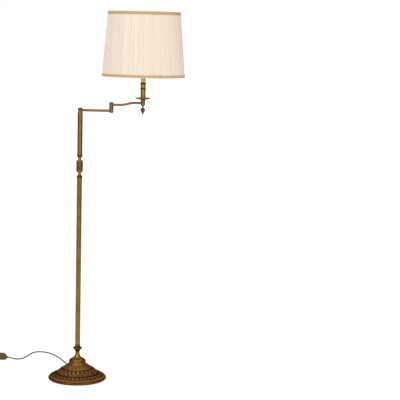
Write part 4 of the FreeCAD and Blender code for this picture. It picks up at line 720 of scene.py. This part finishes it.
# A strap of ribbed rubber goes once round the turns.
tie_low, tie_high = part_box("cord_tie")
tie_middle = (tie_low + tie_high) / 2
tie_half = (tie_high - tie_low) / 2
tie_edge, squareness, strap_rows, strap_thick = 0.0006, 0.55, 12, 0.001
bm = bmesh.new()
bmesh.ops.create_circle(bm, segments=48, radius=1.0)
for vert in bm.verts:
    across, up = vert.co.x, vert.co.y
    vert.co = (math.copysign(abs(across) ** squareness, across) * (tie_half.x - tie_edge), -tie_half.y,
               math.copysign(abs(up) ** squareness, up) * (tie_half.z - tie_edge))
edge_ring = list(bm.edges)
for _ in range(strap_rows):
    new = bmesh.ops.extrude_edge_only(bm, edges=edge_ring)["geom"]
    edge_ring = [part for part in new if isinstance(part, bmesh.types.BMEdge)]
    bmesh.ops.translate(bm, verts=[part for part in new if isinstance(part, bmesh.types.BMVert)],
                        vec=(0, 2 * tie_half.y / strap_rows, 0))
for vert in bm.verts:
    swell = 1 + 0.03 * math.cos(vert.co.y / tie_half.y * 3 * math.pi)
    vert.co.x *= swell
    vert.co.z *= swell
bmesh.ops.recalc_face_normals(bm, faces=bm.faces)
bmesh.ops.translate(bm, verts=bm.verts, vec=tie_middle)
strap_rubber = mottled("strap_rubber", tone(50, 42, 34), tone(38, 31, 25), 60, 1200, (0.5, 0.62), 0.00004)
strap = made("lead_strap", bm, strap_rubber, "stand", "rubber", "cord_tie")
walled(strap, strap_thick, offset=0.0)

# ---------------------------------------------------------------- foot switch
# A gold-brown moulded switch lies on the floor in the lead: a flat sole, a ribbed domed
# shell with round ends, and a round button that a foot presses.

gold_moulding = mottled("gold_moulding", tone(110, 82, 34), tone(78, 56, 20), 60, 900, (0.4, 0.52), 0.00005,
                        Specular_IOR_Level=0.3)
dress(mottled("sole_moulding", tone(84, 68, 44), tone(62, 50, 32), 60, 900, (0.4, 0.55), 0.00005),
      "switch_base")
dress(gold_moulding, "switch_button")

# The shell is the moulding as it was drawn, with grip ribs raised round its outer wall.
bm = bmesh.new()
bm.from_mesh(cad["switch_cover"].data)
bmesh.ops.remove_doubles(bm, verts=bm.verts, dist=2e-6)
rib_half, rib_raised = 0.0008, 0.0006
rib_lowest, rib_apart, rib_count = 0.0075, 0.0026, 7
rib_heights = [rib_lowest + rib_apart * i for i in range(rib_count)]
for level in rib_heights:
    for cut in (level - rib_half, level, level + rib_half):
        bmesh.ops.bisect_plane(bm, geom=bm.verts[:] + bm.edges[:] + bm.faces[:], dist=1e-7,
                               plane_co=(0, 0, cut), plane_no=(0, 0, 1))
bm.normal_update()
shell_low, shell_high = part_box("switch_cover")
shell_middle = (shell_low + shell_high) / 2
run = (shell_high.x - shell_low.x) / 2 - (shell_high.y - shell_low.y) / 2
lifted = []
for vert in bm.verts:
    along = vert.co.x - shell_middle.x
    away = Vector((along - max(-run, min(run, along)), vert.co.y - shell_middle.y, 0))
    outside = vert.normal.dot(away.normalized()) > 0.35
    if outside and min(abs(vert.co.z - level) for level in rib_heights) < 0.0001:
        lifted.append((vert, vert.normal * rib_raised))
shifted(lifted)
ribbed_shell = made("ribbed_shell", bm, gold_moulding, "stand", "gold_plastic", "switch_cover")

# Inside it a steel spring holds the button up.
spring_low, spring_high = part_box("switch_spring")
spring_middle = (spring_low + spring_high) / 2
spring_tall = spring_high.z - spring_low.z
spring_radius, wire_across, spring_turns, spring_steps = 0.0032, 0.0008, 5, 160
bm = bmesh.new()
bmesh.ops.create_circle(bm, segments=10, radius=wire_across / 2)
bmesh.ops.rotate(bm, verts=bm.verts, matrix=Matrix.Rotation(math.radians(90), 3, "X"))
bmesh.ops.translate(bm, verts=bm.verts, vec=(spring_radius, 0, spring_low.z + wire_across / 2))
bm.faces.new(bm.verts)
bmesh.ops.spin(bm, geom=bm.verts[:] + bm.edges[:], cent=(0, 0, 0), axis=(0, 0, 1),
               dvec=(0, 0, (spring_tall - wire_across) / spring_steps), steps=spring_steps,
               angle=spring_turns * math.tau, use_merge=False, use_duplicate=False)
bmesh.ops.holes_fill(bm, edges=[edge for edge in bm.edges if edge.is_boundary])
bmesh.ops.recalc_face_normals(bm, faces=bm.faces)
bmesh.ops.translate(bm, verts=bm.verts, vec=(spring_middle.x, spring_middle.y, 0))
button_spring = made("button_spring", bm, zinc, "stand", "steel", "switch_spring")
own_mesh(button_spring)

# The plug is dark moulding on nickelled pins, and both leads end in pieces of their own.
dress(mottled("plug_moulding", tone(66, 50, 36), tone(48, 36, 26), 60, 900, (0.42, 0.55), 0.00005),
      "plug_body")
dress(mottled("plug_nickel", tone(206, 200, 186), tone(180, 174, 160), 60, 900, (0.2, 0.3), 0.00003,
              Metallic=1.0), "plug_pins")

# ---------------------------------------------------------------- update

bpy.context.view_layer.update()
